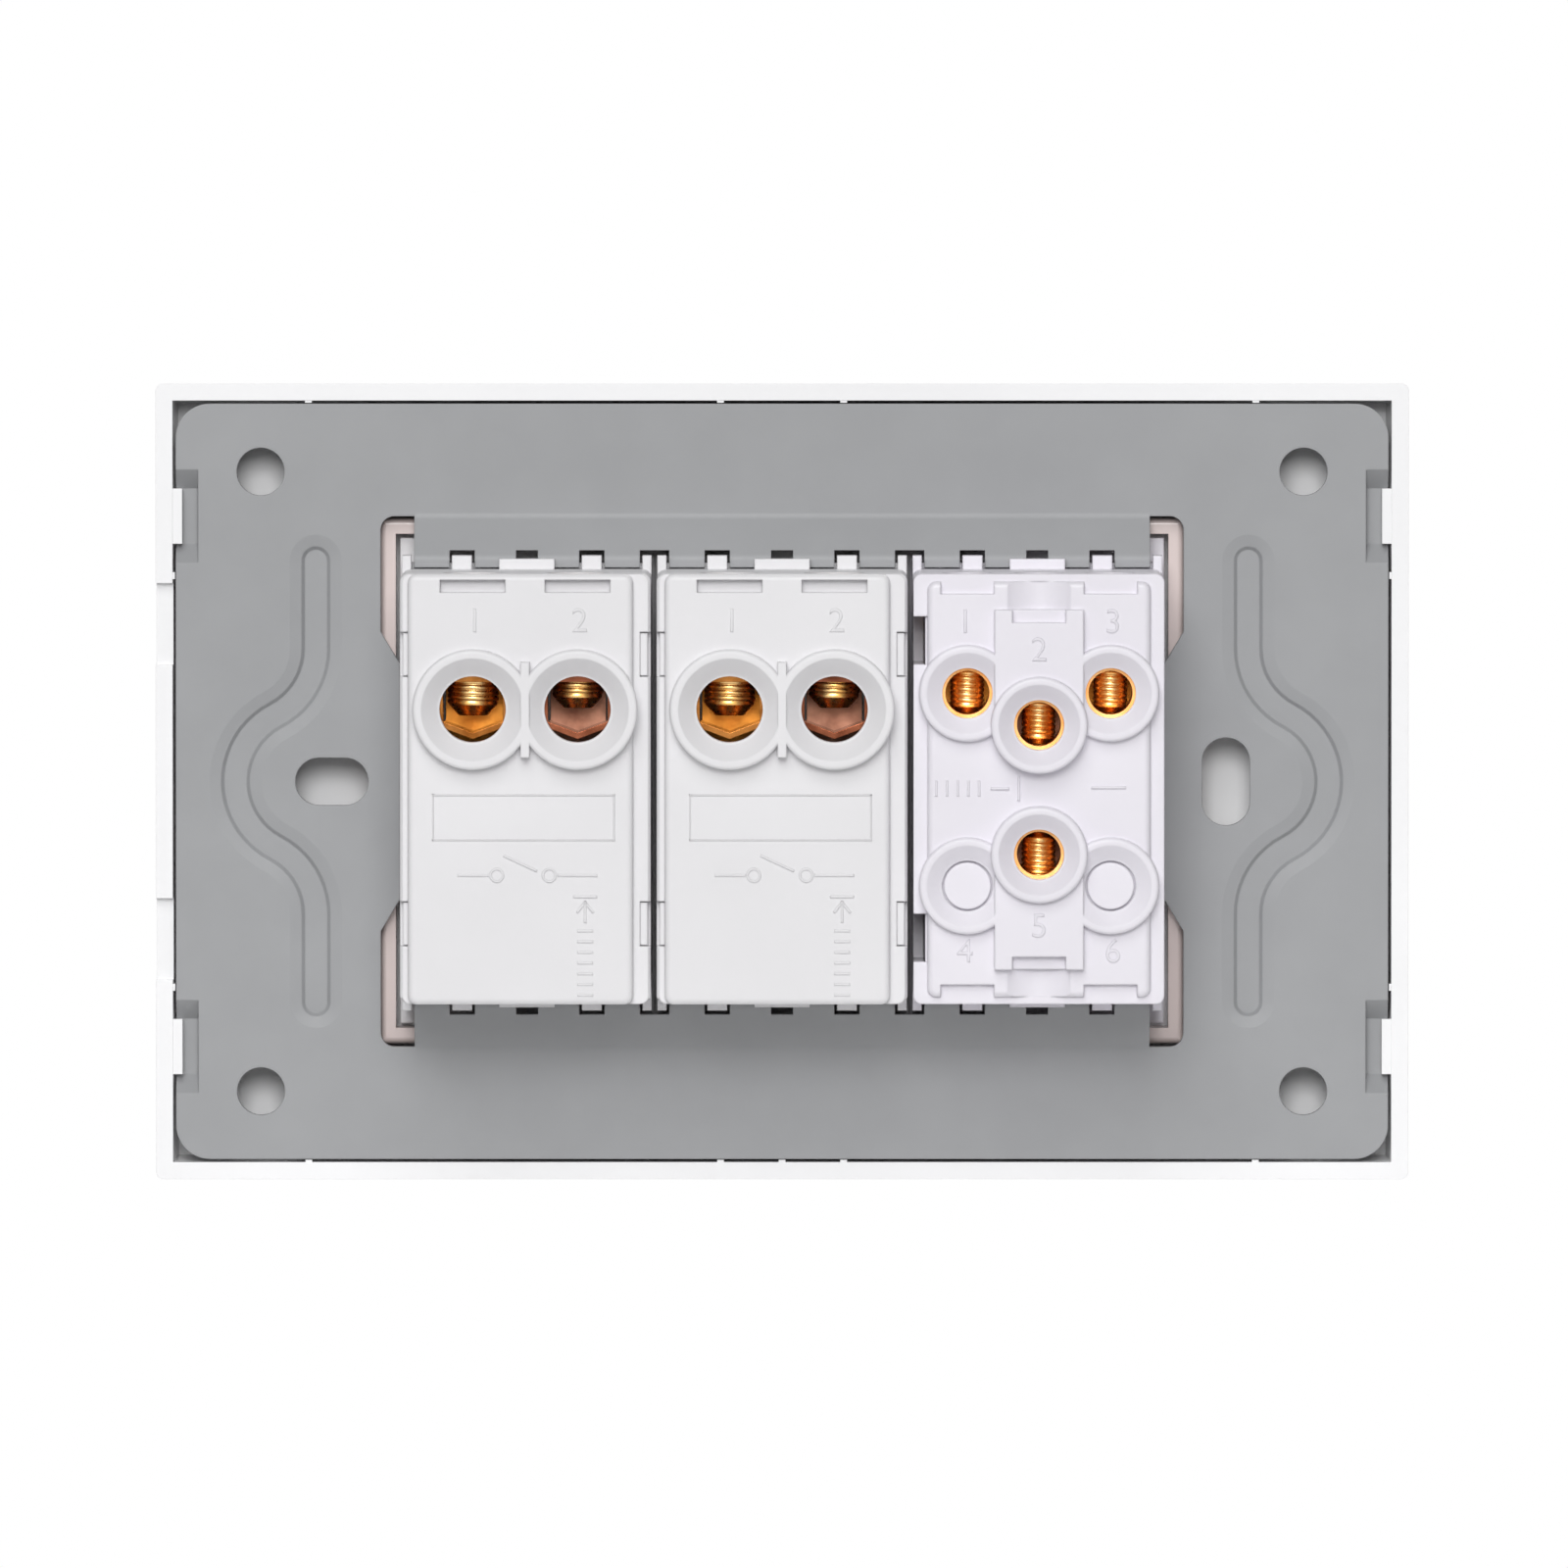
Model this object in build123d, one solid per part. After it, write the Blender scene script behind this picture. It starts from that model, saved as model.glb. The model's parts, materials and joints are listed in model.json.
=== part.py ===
from build123d import *
import math
import os

# A wall switch with four rockers: a front plate, a steel strap and three switch modules.
# The origin is the middle of the plate in the wall's plane. X runs along the plate, +Y goes into the
# wall and Z is up, so the rockers face -Y. Sizes are in millimetres.

# Modules: width steps and the clearances between the pieces
MODULE_PITCH = 24.0
MODULE_GAP = 0.55
MODULE_H = 40.2
FLANGE_LEDGE = 2.8
MODULE_CORNER_R = 0.8
MODULE_PLACES = {"right": MODULE_PITCH, "middle": 0.0, "double": -MODULE_PITCH}
MODULE_W = MODULE_PITCH - MODULE_GAP
MODULE_FRONT_H = MODULE_H + 2 * FLANGE_LEDGE
FLANGES_W = 3 * MODULE_PITCH
GROUP_W = 3 * MODULE_PITCH - MODULE_GAP
RUNNING = 0.05
SLIP = 0.1

# Front plate
PLATE_W = 118.0
PLATE_H = 75.0
PLATE_DEPTH = 8.5
PLATE_WALL = 1.6
PLATE_FRONT_WALL = 2.0
PLATE_DRAFT_DEG = 3.4
PLATE_CORNER_R = 0.7
PLATE_EDGE_R = 1.4
OPENING_COVER_X = 0.15
OPENING_COVER_Z = 0.2
FLANGE_CLEARANCE = 0.4
COLLAR_WALL = 1.5
COLLAR_GAP = 0.5
COLLAR_EDGE_R = 0.6
PRY_LOW_Z = 11.0
PRY_HIGH_Z = 18.7
PRY_DEPTH = 1.0
NUB_W = 0.65
NUB_SPARE = 0.08
NUB_TOP_X = (5.8, 44.6)
NUB_SIDE_Z = 19.4

# Pressed steel strap
STRAP_T = 1.2
STRAP_CLEARANCE = 0.3
STRAP_CORNER_R = 3.2
WINDOW_CLEARANCE = 0.28
RELIEF_OUT = 1.8
RELIEF_R = 1.3
RELIEF_LOW_Z = 14.1
RELIEF_END_Z = 11.1
LIP_RUN = 3.8
LIP_FLAT = 0.95
LIP_RISE = 2.6
LIP_CLEARANCE = 0.15
LIP_BEND_R = 1.0
NOTCH_DEPTH = 1.6
NOTCH_CLEARANCE = 0.25
CLIP_SLOT_W = 2.05
CORNER_INSET_X = 8.0
CORNER_INSET_Z = 6.4
CORNER_HOLE_R = 2.25
SLOT_W = 4.5
WIDE_SLOT_OUT = 6.4
WIDE_SLOT_L = 6.9
TALL_SLOT_OUT = 5.8
TALL_SLOT_L = 8.3
BEAD_END_OUT = 7.9
BEAD_EDGE_INSET = 5.6
BEAD_END_Z = 20.8
BEAD_BEND_Z = 12.5
BEAD_FLOOR_W = 2.1
BEAD_SLOPE_W = 0.3
BEAD_SHOULDER_W = 1.1
BEAD_SHOULDER_DEPTH = 0.15
BEAD_DEPTH = 0.5
JOGGLE_W = 2.1
JOGGLE_Z = 25.0
JOGGLE_L = 8.8
JOGGLE_SLOPE = 1.8
JOGGLE_DEPTH = 1.5
HOOK_L = 5.2
HOOK_REACH = 0.9

# Module housing
HOUSING_WALL = 1.0
HOUSING_FRONT_Y = -5.0
HOUSING_BACK_Y = 19.0
FLANGE_BACK_Y = -3.0
BULKHEAD_Y = -0.9
BULKHEAD_T = 1.2
DIVIDER_T = 1.0
STEM_WINDOW_W = 6.4
STEM_WINDOW_H = 7.2
SHOULDER_BITE = 0.4
LUG_X = 6.1
LUG_W = 1.86
LUG_H = 1.3
LUG_FRONT_Y = 0.5
LUG_BACK_Y = 4.2
CLIP_W = 5.2
CLIP_H = 1.0
POST_W = 0.85
HEEL_H = 0.5
HEEL_DEPTH = 1.5
HOUSING_EDGE_R = 0.35

# Rear covers
COVER_T = 1.6
COVER_BASE_T = 0.3
COVER_BASE_INSET = 0.2
COVER_W = 21.0
COVER_SHIFT = 0.45
COVER_EDGE_R = 0.5
PLUG_DEPTH = 2.0
PLUG_WALL = 0.9
TAB_Z = 12.6
TAB_H = 4.0
TAB_DEPTH = 1.2
TAB_INSET = 0.3
COLLAR_R = 5.6
COLLAR_RING = 0.8
COLLAR_H = 1.8
COLLAR_FLOOR = 0.3
COLLAR_RIB_W = 0.83
COLLAR_RIB_H = 8.9
RIM_EDGE_R = 0.3
FUNNEL_LAND = 0.15
ENTRY_R = 3.1
ACCESS_W = 6.1
ACCESS_DROP = 1.2
ACCESS_RIM = 0.5
ACCESS_CLEARANCE = 0.25

# Rear cover of the double module, with three steps of height
DOUBLE_BASE_T = 0.4
DOUBLE_FIELD_W = 20.8
DOUBLE_FIELD_INSET = 0.7
DOUBLE_COLLAR_R = 4.5
DOUBLE_COLLAR_RING = 0.7
DOUBLE_COLLAR_H = 1.2
DOUBLE_ENTRY_R = 2.35
DOUBLE_ACCESS_W = 5.0
DOUBLE_ACCESS_DROP = 1.15
DOUBLE_BLOCK_W = 8.3
DOUBLE_BLOCK_H = 1.2
DOUBLE_BLOCK_TOP_Z = 16.8
DOUBLE_CHANNEL_R = 4.85
DOUBLE_CHANNEL_DEPTH = 1.0
DOUBLE_POCKET_Z = 13.9
DOUBLE_POCKET_H = 4.5
DOUBLE_POCKET_DEPTH = 9.0
BLANK_R = 2.36
BLANK_GROOVE = 0.18
BLANK_GROOVE_DEPTH = 0.5

# Terminals: places of the wire entries and the blocks behind them
TERMINAL_X = 4.9
TERMINAL_Z = 7.5
BLOCK_FRONT_Y = 12.4
BLOCK_W = 7.2
BLOCK_ABOVE = 4.4
CAGE_FLOOR_T = 0.55
TUNNEL_W = 5.6
TUNNEL_TOP = 2.5
TUNNEL_SIDE_LOW = 1.2
TUNNEL_LOW = 2.25
SCREW_R = 2.4
SCREW_L = 7.6
SCREW_HEAD_R = 2.6
SCREW_HEAD_H = 1.8
SCREW_SLOT_W = 0.8
SCREW_SLOT_DEPTH = 0.8
SCREW_TIP_R = 1.2
DOUBLE_TIP_R = 0.5
COMMON_TIP = 0.0
LOAD_TIP = -0.7
DOUBLE_OUTER_X = 6.69
DOUBLE_OUTER_Z = 9.0
DOUBLE_MIDDLE_Z = 6.05
DOUBLE_BLOCK_HALF = 2.9
DOUBLE_BLOCK_BELOW = 3.2
DOUBLE_BLOCK_ABOVE = 3.6
DOUBLE_TUNNEL_R = 2.05
DOUBLE_SEAT = 2.6
DOUBLE_SCREW_R = 1.6
DOUBLE_SCREW_L = 6.4
DOUBLE_HEAD_R = 2.1
DOUBLE_HEAD_H = 1.5
DOUBLE_TIP = -1.9

# Rocker, plunger and spring
KEY_FRONT_Y = -9.5
KEY_T = 2.0
KEY_INSET = 1.2
KEY_GAP = 0.8
KEY_EDGE_R = 0.6
KEY_CROWN = 0.4
ROCKER_TILT_DEG = 5.0
PIVOT_Y = -3.0
PIVOT_R = 1.2
PIVOT_ENGAGE = 0.4
CHEEK_T = 1.0
CHEEK_R = 1.7
CHEEK_CLEARANCE = 0.3
STEM_R = 2.7
STEM_REACH = 3.2
STEM_BORE_R = 1.75
STEM_BORE_FLOOR_Y = -8.0
PLUNGER_BACK = 1.0
PLUNGER_SHANK_L = 5.5
PLUNGER_TIP_R = 1.2
PLUNGER_AIR = 0.25
SPRING_WIRE_R = 0.2
SPRING_R = 1.3
SPRING_TURNS = 5

# Contacts
ARM_PIVOT_Y = 8.9
ARM_PIN_R = 0.9
ARM_FRONT = 1.3
ARM_T = 0.8
ARM_W = 3.8
ARM_LOW = 8.3
ARM_HIGH = 8.6
ARM_TILT_DEG = 8.0
CONTACT_Z = 7.0
CONTACT_R = 1.4
CONTACT_T = 0.7
CONTACT_EDGE_R = 0.35
CONTACT_AIR = 0.1
STRIP_T = 0.8
STRIP_W = 5.2
STRIP_BELOW = 3.4
STRIP_ABOVE = 3.8
STRIP_BAR_W = 3.2
STRIP_LEG_X = 1.5
STRIP_LEG_W = 1.8
FULCRUM_H = 3.6
FULCRUM_BACKLASH = 0.1

# Sizes that follow from the ones above
PLATE_INNER_W = PLATE_W - 2 * PLATE_WALL
PLATE_INNER_H = PLATE_H - 2 * PLATE_WALL
STRAP_W = PLATE_INNER_W - 2 * STRAP_CLEARANCE
STRAP_H = PLATE_INNER_H - 2 * STRAP_CLEARANCE
OPENING_W = FLANGES_W - 2 * OPENING_COVER_X
OPENING_H = MODULE_FRONT_H - 2 * OPENING_COVER_Z
COLLAR_INNER_W = FLANGES_W + 2 * FLANGE_CLEARANCE
COLLAR_INNER_H = MODULE_FRONT_H + 2 * FLANGE_CLEARANCE
WINDOW_W = GROUP_W + 2 * WINDOW_CLEARANCE
CORNER_HOLE_X = STRAP_W / 2 - CORNER_INSET_X
CORNER_HOLE_Z = STRAP_H / 2 - CORNER_INSET_Z
BEAD_END_X = WINDOW_W / 2 + BEAD_END_OUT
BEAD_MID_X = STRAP_W / 2 - BEAD_EDGE_INSET
LIP_Z = MODULE_H / 2 + LIP_CLEARANCE
LIP_KNEE_Z = LIP_Z + LIP_FLAT
LIP_BEND_Z = LIP_KNEE_Z + LIP_RUN
NOTCH_Z = LIP_Z + NOTCH_DEPTH
LIP_L = GROUP_W - 2 * POST_W - 2 * NOTCH_CLEARANCE
SHOULDER_Y = LIP_RISE - STRAP_T - RUNNING
SHOULDER_H = MODULE_H + 2 * LIP_CLEARANCE + 2 * SHOULDER_BITE
CAVITY_W = MODULE_W - 2 * HOUSING_WALL
CAVITY_H = MODULE_H - 2 * HOUSING_WALL
CAVITY_FRONT_Y = BULKHEAD_Y + BULKHEAD_T
KEY_H = MODULE_FRONT_H - 2 * KEY_INSET
COVER_BACK_Y = HOUSING_BACK_Y + COVER_T
SCREW_Y = (BLOCK_FRONT_Y + HOUSING_BACK_Y) / 2
STRIP_FRONT_Y = BLOCK_FRONT_Y - STRIP_T
DOUBLE_CELL_W = (CAVITY_W - DIVIDER_T) / 2
DOUBLE_GANG_X = (DOUBLE_CELL_W + DIVIDER_T) / 2
DOUBLE_FIELD_Y = HOUSING_BACK_Y + DOUBLE_BASE_T + DOUBLE_COLLAR_H - COLLAR_FLOOR
DOUBLE_RIM_Y = DOUBLE_FIELD_Y + DOUBLE_COLLAR_H
FOUR_CORNERS = [(1, 1), (1, -1), (-1, 1), (-1, -1)]
BOTH = (1, -1)
FROM_END = (Align.CENTER, Align.CENTER, Align.MIN)


def slab(x, y, z):
    """A box from the low and high value along each axis."""
    middle = Pos((x[0] + x[1]) / 2, (y[0] + y[1]) / 2, (z[0] + z[1]) / 2)
    return middle * Box(abs(x[1] - x[0]), abs(y[1] - y[0]), abs(z[1] - z[0]))


def about(middle, width):
    return (middle - width / 2, middle + width / 2)


def rod_x(y, z, r, x):
    return Pos(x[0], y, z) * Rot(0, 90, 0) * Cylinder(r, x[1] - x[0], align=FROM_END)


def rod_y(x, z, r, y):
    return Pos(x, y[0], z) * Rot(-90, 0, 0) * Cylinder(r, y[1] - y[0], align=FROM_END)


def rod_z(x, y, r, z):
    return Pos(x, y, z[0]) * Cylinder(r, z[1] - z[0], align=FROM_END)


def through_wall(sketch, y):
    """A sketch in X and Z, made solid from the first to the second value of Y."""
    return extrude(Plane.XZ.offset(-y[0]) * sketch, amount=-(y[1] - y[0]))


def along_x(points, x):
    """A closed outline of (Y, Z) points, made solid from the first to the second value of X."""
    outline = make_face(Polyline(*points, close=True))
    return extrude(Plane.YZ.offset(x[0]) * outline, amount=x[1] - x[0])


def rounded_slab(x, y, z, corner_r):
    """A slab with its four corners, seen from behind, rounded."""
    outline = RectangleRounded(x[1] - x[0], z[1] - z[0], corner_r)
    return through_wall(Pos((x[0] + x[1]) / 2, (z[0] + z[1]) / 2) * outline, y)


def back_edges(solid):
    return solid.faces().sort_by(Axis.Y)[-1].edges()


def face_plate():
    outer = RectangleRounded(PLATE_W, PLATE_H, PLATE_CORNER_R)
    plate = extrude(Plane.XZ * outer, amount=PLATE_DEPTH, taper=PLATE_DRAFT_DEG)
    plate = fillet(plate.faces().sort_by(Axis.Y)[0].edges(), PLATE_EDGE_R)
    inner = Rectangle(PLATE_INNER_W, PLATE_INNER_H)
    inner_y = PLATE_DEPTH - PLATE_FRONT_WALL
    plate -= extrude(Plane.XZ * inner, amount=inner_y, taper=PLATE_DRAFT_DEG)
    collar_back = -STRAP_T - COLLAR_GAP
    collar_w, collar_h = COLLAR_INNER_W + 2 * COLLAR_WALL, COLLAR_INNER_H + 2 * COLLAR_WALL
    frame = slab(about(0, collar_w), (-inner_y, collar_back), about(0, collar_h))
    plate += fillet(back_edges(frame), COLLAR_EDGE_R)
    plate -= slab(about(0, COLLAR_INNER_W), (-inner_y, collar_back), about(0, COLLAR_INNER_H))
    plate -= slab(about(0, OPENING_W), (-PLATE_DEPTH, -inner_y), about(0, OPENING_H))
    for x_side, z_side in FOUR_CORNERS:
        plate += plate_hook(x_side, z_side)
    for z_side in BOTH:
        notch = sorted((z_side * PRY_LOW_Z, z_side * PRY_HIGH_Z))
        plate -= slab((PLATE_INNER_W / 2 - PLATE_WALL, PLATE_W / 2), (-PRY_DEPTH, 0), notch)
    return plate + plate_nubs()


def plate_hook(x_side, z_side):
    """A snap hook on the rim that reaches behind the strap's joggle."""
    wall = PLATE_INNER_W / 2
    reach = sorted((x_side * (wall - HOOK_REACH), x_side * (wall + PLATE_WALL / 2)))
    depth = (-JOGGLE_DEPTH + RUNNING, -RUNNING)
    return slab(reach, depth, about(z_side * JOGGLE_Z, HOOK_L))


def plate_nubs():
    """Small ribs inside the rim that centre the strap, with one more in the middle of the lower side."""
    reach = STRAP_CLEARANCE - NUB_SPARE
    depth = (-STRAP_T, -RUNNING)
    nubs = []
    for side in BOTH:
        top = side * (PLATE_INNER_H / 2 - reach)
        root = side * (PLATE_INNER_H / 2 + PLATE_WALL / 2)
        span = sorted((top, root))
        places = [sign * x for x in NUB_TOP_X for sign in BOTH]
        if side < 0:
            places.append(0)
        nubs += [slab(about(x, NUB_W), depth, span) for x in places]
        tip = side * (PLATE_INNER_W / 2 - reach)
        base = side * (PLATE_INNER_W / 2 + PLATE_WALL / 2)
        nubs += [slab(sorted((tip, base)), depth, about(sign * NUB_SIDE_Z, NUB_W)) for sign in BOTH]
    return nubs


def strap_window():
    """The module window: straight sides, with a relief notch at each end of the bent lips."""
    side = WINDOW_W / 2
    relief = side + RELIEF_OUT
    quarter = [(side, RELIEF_END_Z), (relief, RELIEF_LOW_Z), (relief, LIP_BEND_Z)]
    upper = quarter + [(-x, z) for x, z in reversed(quarter)]
    lower = [(-x, -z) for x, z in upper]
    window = make_face(Polyline(*upper, *lower, close=True))
    corners = [v for v in window.vertices() if abs(v.Y) > LIP_BEND_Z - RELIEF_R]
    return fillet(corners, RELIEF_R)


def strap_lip(z_side):
    """The edge of the window, bent back towards the wall in a slope and a flat lip."""
    run = LIP_BEND_Z - LIP_KNEE_Z
    slope = math.hypot(run, LIP_RISE)
    shift_z = STRAP_T * LIP_RISE / slope
    shift_y = STRAP_T * run / slope
    gain = run / LIP_RISE
    lip_front = LIP_RISE - STRAP_T
    front_knee = LIP_KNEE_Z - shift_z + (LIP_RISE - shift_y - lip_front) * gain
    front_bend = LIP_BEND_Z - shift_z + (STRAP_T - shift_y) * gain
    root = LIP_BEND_Z + STRAP_T
    outline = [
        (0, root), (0, LIP_BEND_Z), (LIP_RISE, LIP_KNEE_Z), (LIP_RISE, LIP_Z),
        (lip_front, LIP_Z), (lip_front, front_knee), (-STRAP_T, front_bend), (-STRAP_T, root),
    ]
    lip = along_x([(y, z_side * z) for y, z in outline], about(0, LIP_L))
    bends = lip.edges().filter_by(Axis.X).filter_by(
        lambda e: any(
            abs(e.center().Y - y) < RUNNING and abs(abs(e.center().Z) - z) < RUNNING
            for y, z in [(0, LIP_BEND_Z), (LIP_RISE, LIP_KNEE_Z)]
        )
    )
    return fillet(bends, LIP_BEND_R)


def lip_notches():
    """Slots in both lips for the lugs, the clips and the corner posts of the modules."""
    depth = (-STRAP_T, LIP_RISE)
    lug_w = LUG_W + 2 * NOTCH_CLEARANCE
    post_w = MODULE_GAP + 2 * POST_W + 2 * NOTCH_CLEARANCE
    places = [(side * MODULE_PITCH / 2, post_w) for side in BOTH]
    for middle in MODULE_PLACES.values():
        places += [(middle + side * LUG_X, lug_w) for side in BOTH] + [(middle, CLIP_SLOT_W)]
    return [
        slab(about(x, width), depth, sorted((side * LIP_Z, side * NOTCH_Z)))
        for x, width in places
        for side in BOTH
    ]


def bead_line(x_side):
    """The line that a bead follows: straight ends, and a bow outwards past the screw slot."""
    end_x, mid_x = x_side * BEAD_END_X, x_side * BEAD_MID_X
    turn_x, turn_z = (end_x + mid_x) / 2, BEAD_BEND_Z / 2
    bow = BEAD_MID_X - BEAD_END_X
    radius = x_side * (bow**2 + BEAD_BEND_Z**2) / (4 * bow)
    return Wire([
        Line((end_x, BEAD_END_Z), (end_x, BEAD_BEND_Z)),
        RadiusArc((end_x, BEAD_BEND_Z), (turn_x, turn_z), -radius),
        RadiusArc((turn_x, turn_z), (mid_x, 0), radius),
        RadiusArc((mid_x, 0), (turn_x, -turn_z), radius),
        RadiusArc((turn_x, -turn_z), (end_x, -BEAD_BEND_Z), -radius),
        Line((end_x, -BEAD_BEND_Z), (end_x, -BEAD_END_Z)),
    ])


def bead(x_side, top_y):
    """A long shallow swage with soft shoulders and sloped sides, from its mouth at top_y to its floor."""
    floor = BEAD_FLOOR_W / 2
    knee = floor + BEAD_SLOPE_W
    mouth = knee + BEAD_SHOULDER_W
    half = [(mouth, 0), (knee, BEAD_SHOULDER_DEPTH), (floor, BEAD_DEPTH)]
    section = Polyline(*half, *[(-x, depth) for x, depth in reversed(half)], close=True)
    end_x = x_side * BEAD_END_X
    start = Plane((end_x, top_y, BEAD_END_Z), x_dir=(1, 0, 0), z_dir=(0, 0, -1))
    profile = start * make_face(section)
    groove = sweep(profile, path=Plane.XZ.offset(-top_y) * bead_line(x_side))
    for side in BOTH:
        for (wide, high), (narrow, low) in zip(half, half[1:]):
            end = Cone(wide, narrow, low - high, align=FROM_END)
            groove += Pos(end_x, top_y - high, side * BEAD_END_Z) * Rot(90, 0, 0) * end
    return groove


def joggle(x_side, z_side):
    """A stretch of the strap's edge that is lanced free and pressed forward, for the plate's hook."""
    inner = x_side * (STRAP_W / 2 - JOGGLE_W)
    edge = x_side * STRAP_W / 2
    low, high = about(z_side * JOGGLE_Z, JOGGLE_L)
    back = [(0, low), (-JOGGLE_DEPTH, low + JOGGLE_SLOPE), (-JOGGLE_DEPTH, high - JOGGLE_SLOPE), (0, high)]
    front = [(y - STRAP_T, z) for y, z in reversed(back)]
    return along_x(back + front, sorted((inner, edge)))


def mounting_strap():
    flat = RectangleRounded(STRAP_W, STRAP_H, STRAP_CORNER_R) - strap_window()
    for x_side, z_side in FOUR_CORNERS:
        flat -= Pos(x_side * CORNER_HOLE_X, z_side * CORNER_HOLE_Z) * Circle(CORNER_HOLE_R)
        flat -= Pos(x_side * (STRAP_W - JOGGLE_W) / 2, z_side * JOGGLE_Z) * Rectangle(JOGGLE_W, JOGGLE_L)
    strap = through_wall(flat, (-STRAP_T, 0))
    for side in BOTH:
        strap += strap_lip(side)
        strap += bead(side, -STRAP_T)
        strap -= bead(side, 0)
    for x_side, z_side in FOUR_CORNERS:
        strap += joggle(x_side, z_side)
    return strap - lip_notches() - screw_slots()


def screw_slots():
    """One level and one upright slot for the wall screws, beside the window."""
    level = Pos(WINDOW_W / 2 + WIDE_SLOT_OUT, 0) * SlotOverall(WIDE_SLOT_L, SLOT_W)
    upright = Pos(-WINDOW_W / 2 - TALL_SLOT_OUT, 0) * SlotOverall(TALL_SLOT_L, SLOT_W, rotation=90)
    depth = (-STRAP_T - BEAD_DEPTH, 0)
    return [through_wall(level, depth), through_wall(upright, depth)]


def lugs_and_clips(middle):
    """What holds a module in the strap: lugs and posts in the notches, and clips behind the lip."""
    depth = (LUG_FRONT_Y, LUG_BACK_Y)
    root = MODULE_H / 2 - HOUSING_WALL
    pieces = []
    for side in BOTH:
        span = sorted((side * root, side * (MODULE_H / 2 + LUG_H)))
        pieces += [slab(about(middle + x * LUG_X, LUG_W), depth, span) for x in BOTH]
        edge = MODULE_W / 2 - POST_W / 2
        pieces += [slab(about(middle + x * edge, POST_W), depth, span) for x in BOTH]
        clip = sorted((side * root, side * (MODULE_H / 2 + CLIP_H)))
        pieces.append(slab(about(middle, CLIP_W), (LIP_RISE + RUNNING, LUG_BACK_Y), clip))
    return pieces


def module_body(middle, gangs, cell_w):
    """The moulded body of a module, open at the back, with a well for its rockers at the front."""
    x = about(middle, MODULE_W)
    flange_x = about(middle, MODULE_PITCH)
    body = slab(flange_x, (HOUSING_FRONT_Y, FLANGE_BACK_Y), about(0, MODULE_FRONT_H))
    body += slab(x, (FLANGE_BACK_Y, SHOULDER_Y), about(0, SHOULDER_H))
    box = rounded_slab(x, (SHOULDER_Y, HOUSING_BACK_Y), about(0, MODULE_H), MODULE_CORNER_R)
    body += fillet(back_edges(box), HOUSING_EDGE_R)
    body += lugs_and_clips(middle)
    for gang in gangs:
        well = about(middle + gang, cell_w)
        body -= slab(well, (HOUSING_FRONT_Y, BULKHEAD_Y), about(0, CAVITY_H))
        stem = about(middle + gang, STEM_WINDOW_W)
        body -= slab(stem, (BULKHEAD_Y, CAVITY_FRONT_Y), about(0, STEM_WINDOW_H))
        bearing = CHEEK_CLEARANCE + PIVOT_ENGAGE
        body -= rod_x(PIVOT_Y, 0, PIVOT_R + RUNNING, (well[0] - bearing, well[1] + bearing))
    body -= slab(about(middle, CAVITY_W), (CAVITY_FRONT_Y, HOUSING_BACK_Y), about(0, CAVITY_H))
    return body


def heel_cut(middle):
    """The step at the lower back edge that the cover's heel fills."""
    low = -MODULE_H / 2
    return slab(about(middle, MODULE_W), (HOUSING_BACK_Y - HEEL_DEPTH, HOUSING_BACK_Y), (low, low + HEEL_H))


def tab_slots(middle, spare):
    """Seats in the side walls for the cover's snap tabs, or with no spare the tabs themselves."""
    outer = MODULE_W / 2 - (TAB_INSET if spare == 0 else 0)
    inner = CAVITY_W / 2 - SLIP - PLUG_WALL
    depth = (HOUSING_BACK_Y - TAB_DEPTH - spare, HOUSING_BACK_Y)
    slots = []
    for x_side, z_side in FOUR_CORNERS:
        x = sorted((middle + x_side * inner, middle + x_side * outer))
        slots.append(slab(x, depth, about(z_side * TAB_Z, TAB_H + 2 * spare)))
    return slots


def single_housing(middle):
    body = module_body(middle, [0.0], CAVITY_W)
    body -= heel_cut(middle)
    body -= tab_slots(middle, SLIP)
    for side in BOTH:
        top = (CAVITY_H / 2 - HOUSING_WALL, MODULE_H / 2)
        body -= rod_z(middle + side * TERMINAL_X, SCREW_Y, SCREW_HEAD_R + ACCESS_CLEARANCE, top)
    return body


def cover_plug(middle):
    """The ring on the cover's inner side that fits inside the housing."""
    w, h = CAVITY_W - 2 * SLIP, CAVITY_H - 2 * SLIP
    y = (HOUSING_BACK_Y - PLUG_DEPTH, HOUSING_BACK_Y)
    inside = slab(about(middle, w - 2 * PLUG_WALL), y, about(0, h - 2 * PLUG_WALL))
    return slab(about(middle, w), y, about(0, h)) - inside


def cover_base(middle, top):
    """The thin edge of a single cover, which lies on the housing's walls and leaves the snap tabs open."""
    x, y = about(middle, MODULE_W - 2 * COVER_BASE_INSET), (HOUSING_BACK_Y, HOUSING_BACK_Y + COVER_BASE_T)
    base = rounded_slab(x, y, (-MODULE_H / 2, top), MODULE_CORNER_R)
    for x_side, z_side in FOUR_CORNERS:
        edge = sorted((middle + x_side * CAVITY_W / 2, middle + x_side * MODULE_W / 2))
        base -= slab(edge, y, about(z_side * TAB_Z, TAB_H + 2 * SLIP))
    return base


def collar(x, z, radius, y):
    """The round wall about a wire entry, with a rounded outer rim."""
    return fillet(back_edges(rod_y(x, z, radius, y)), RIM_EDGE_R)


def funnel(x, z, entry_r, mouth_r, y):
    """The tapered mouth of a wire entry, from a small land about its bore out to the collar's rim."""
    mouth = Cone(entry_r + FUNNEL_LAND, mouth_r, y[1] - y[0], align=FROM_END)
    return Pos(x, y[0], z) * Rot(-90, 0, 0) * mouth


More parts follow.
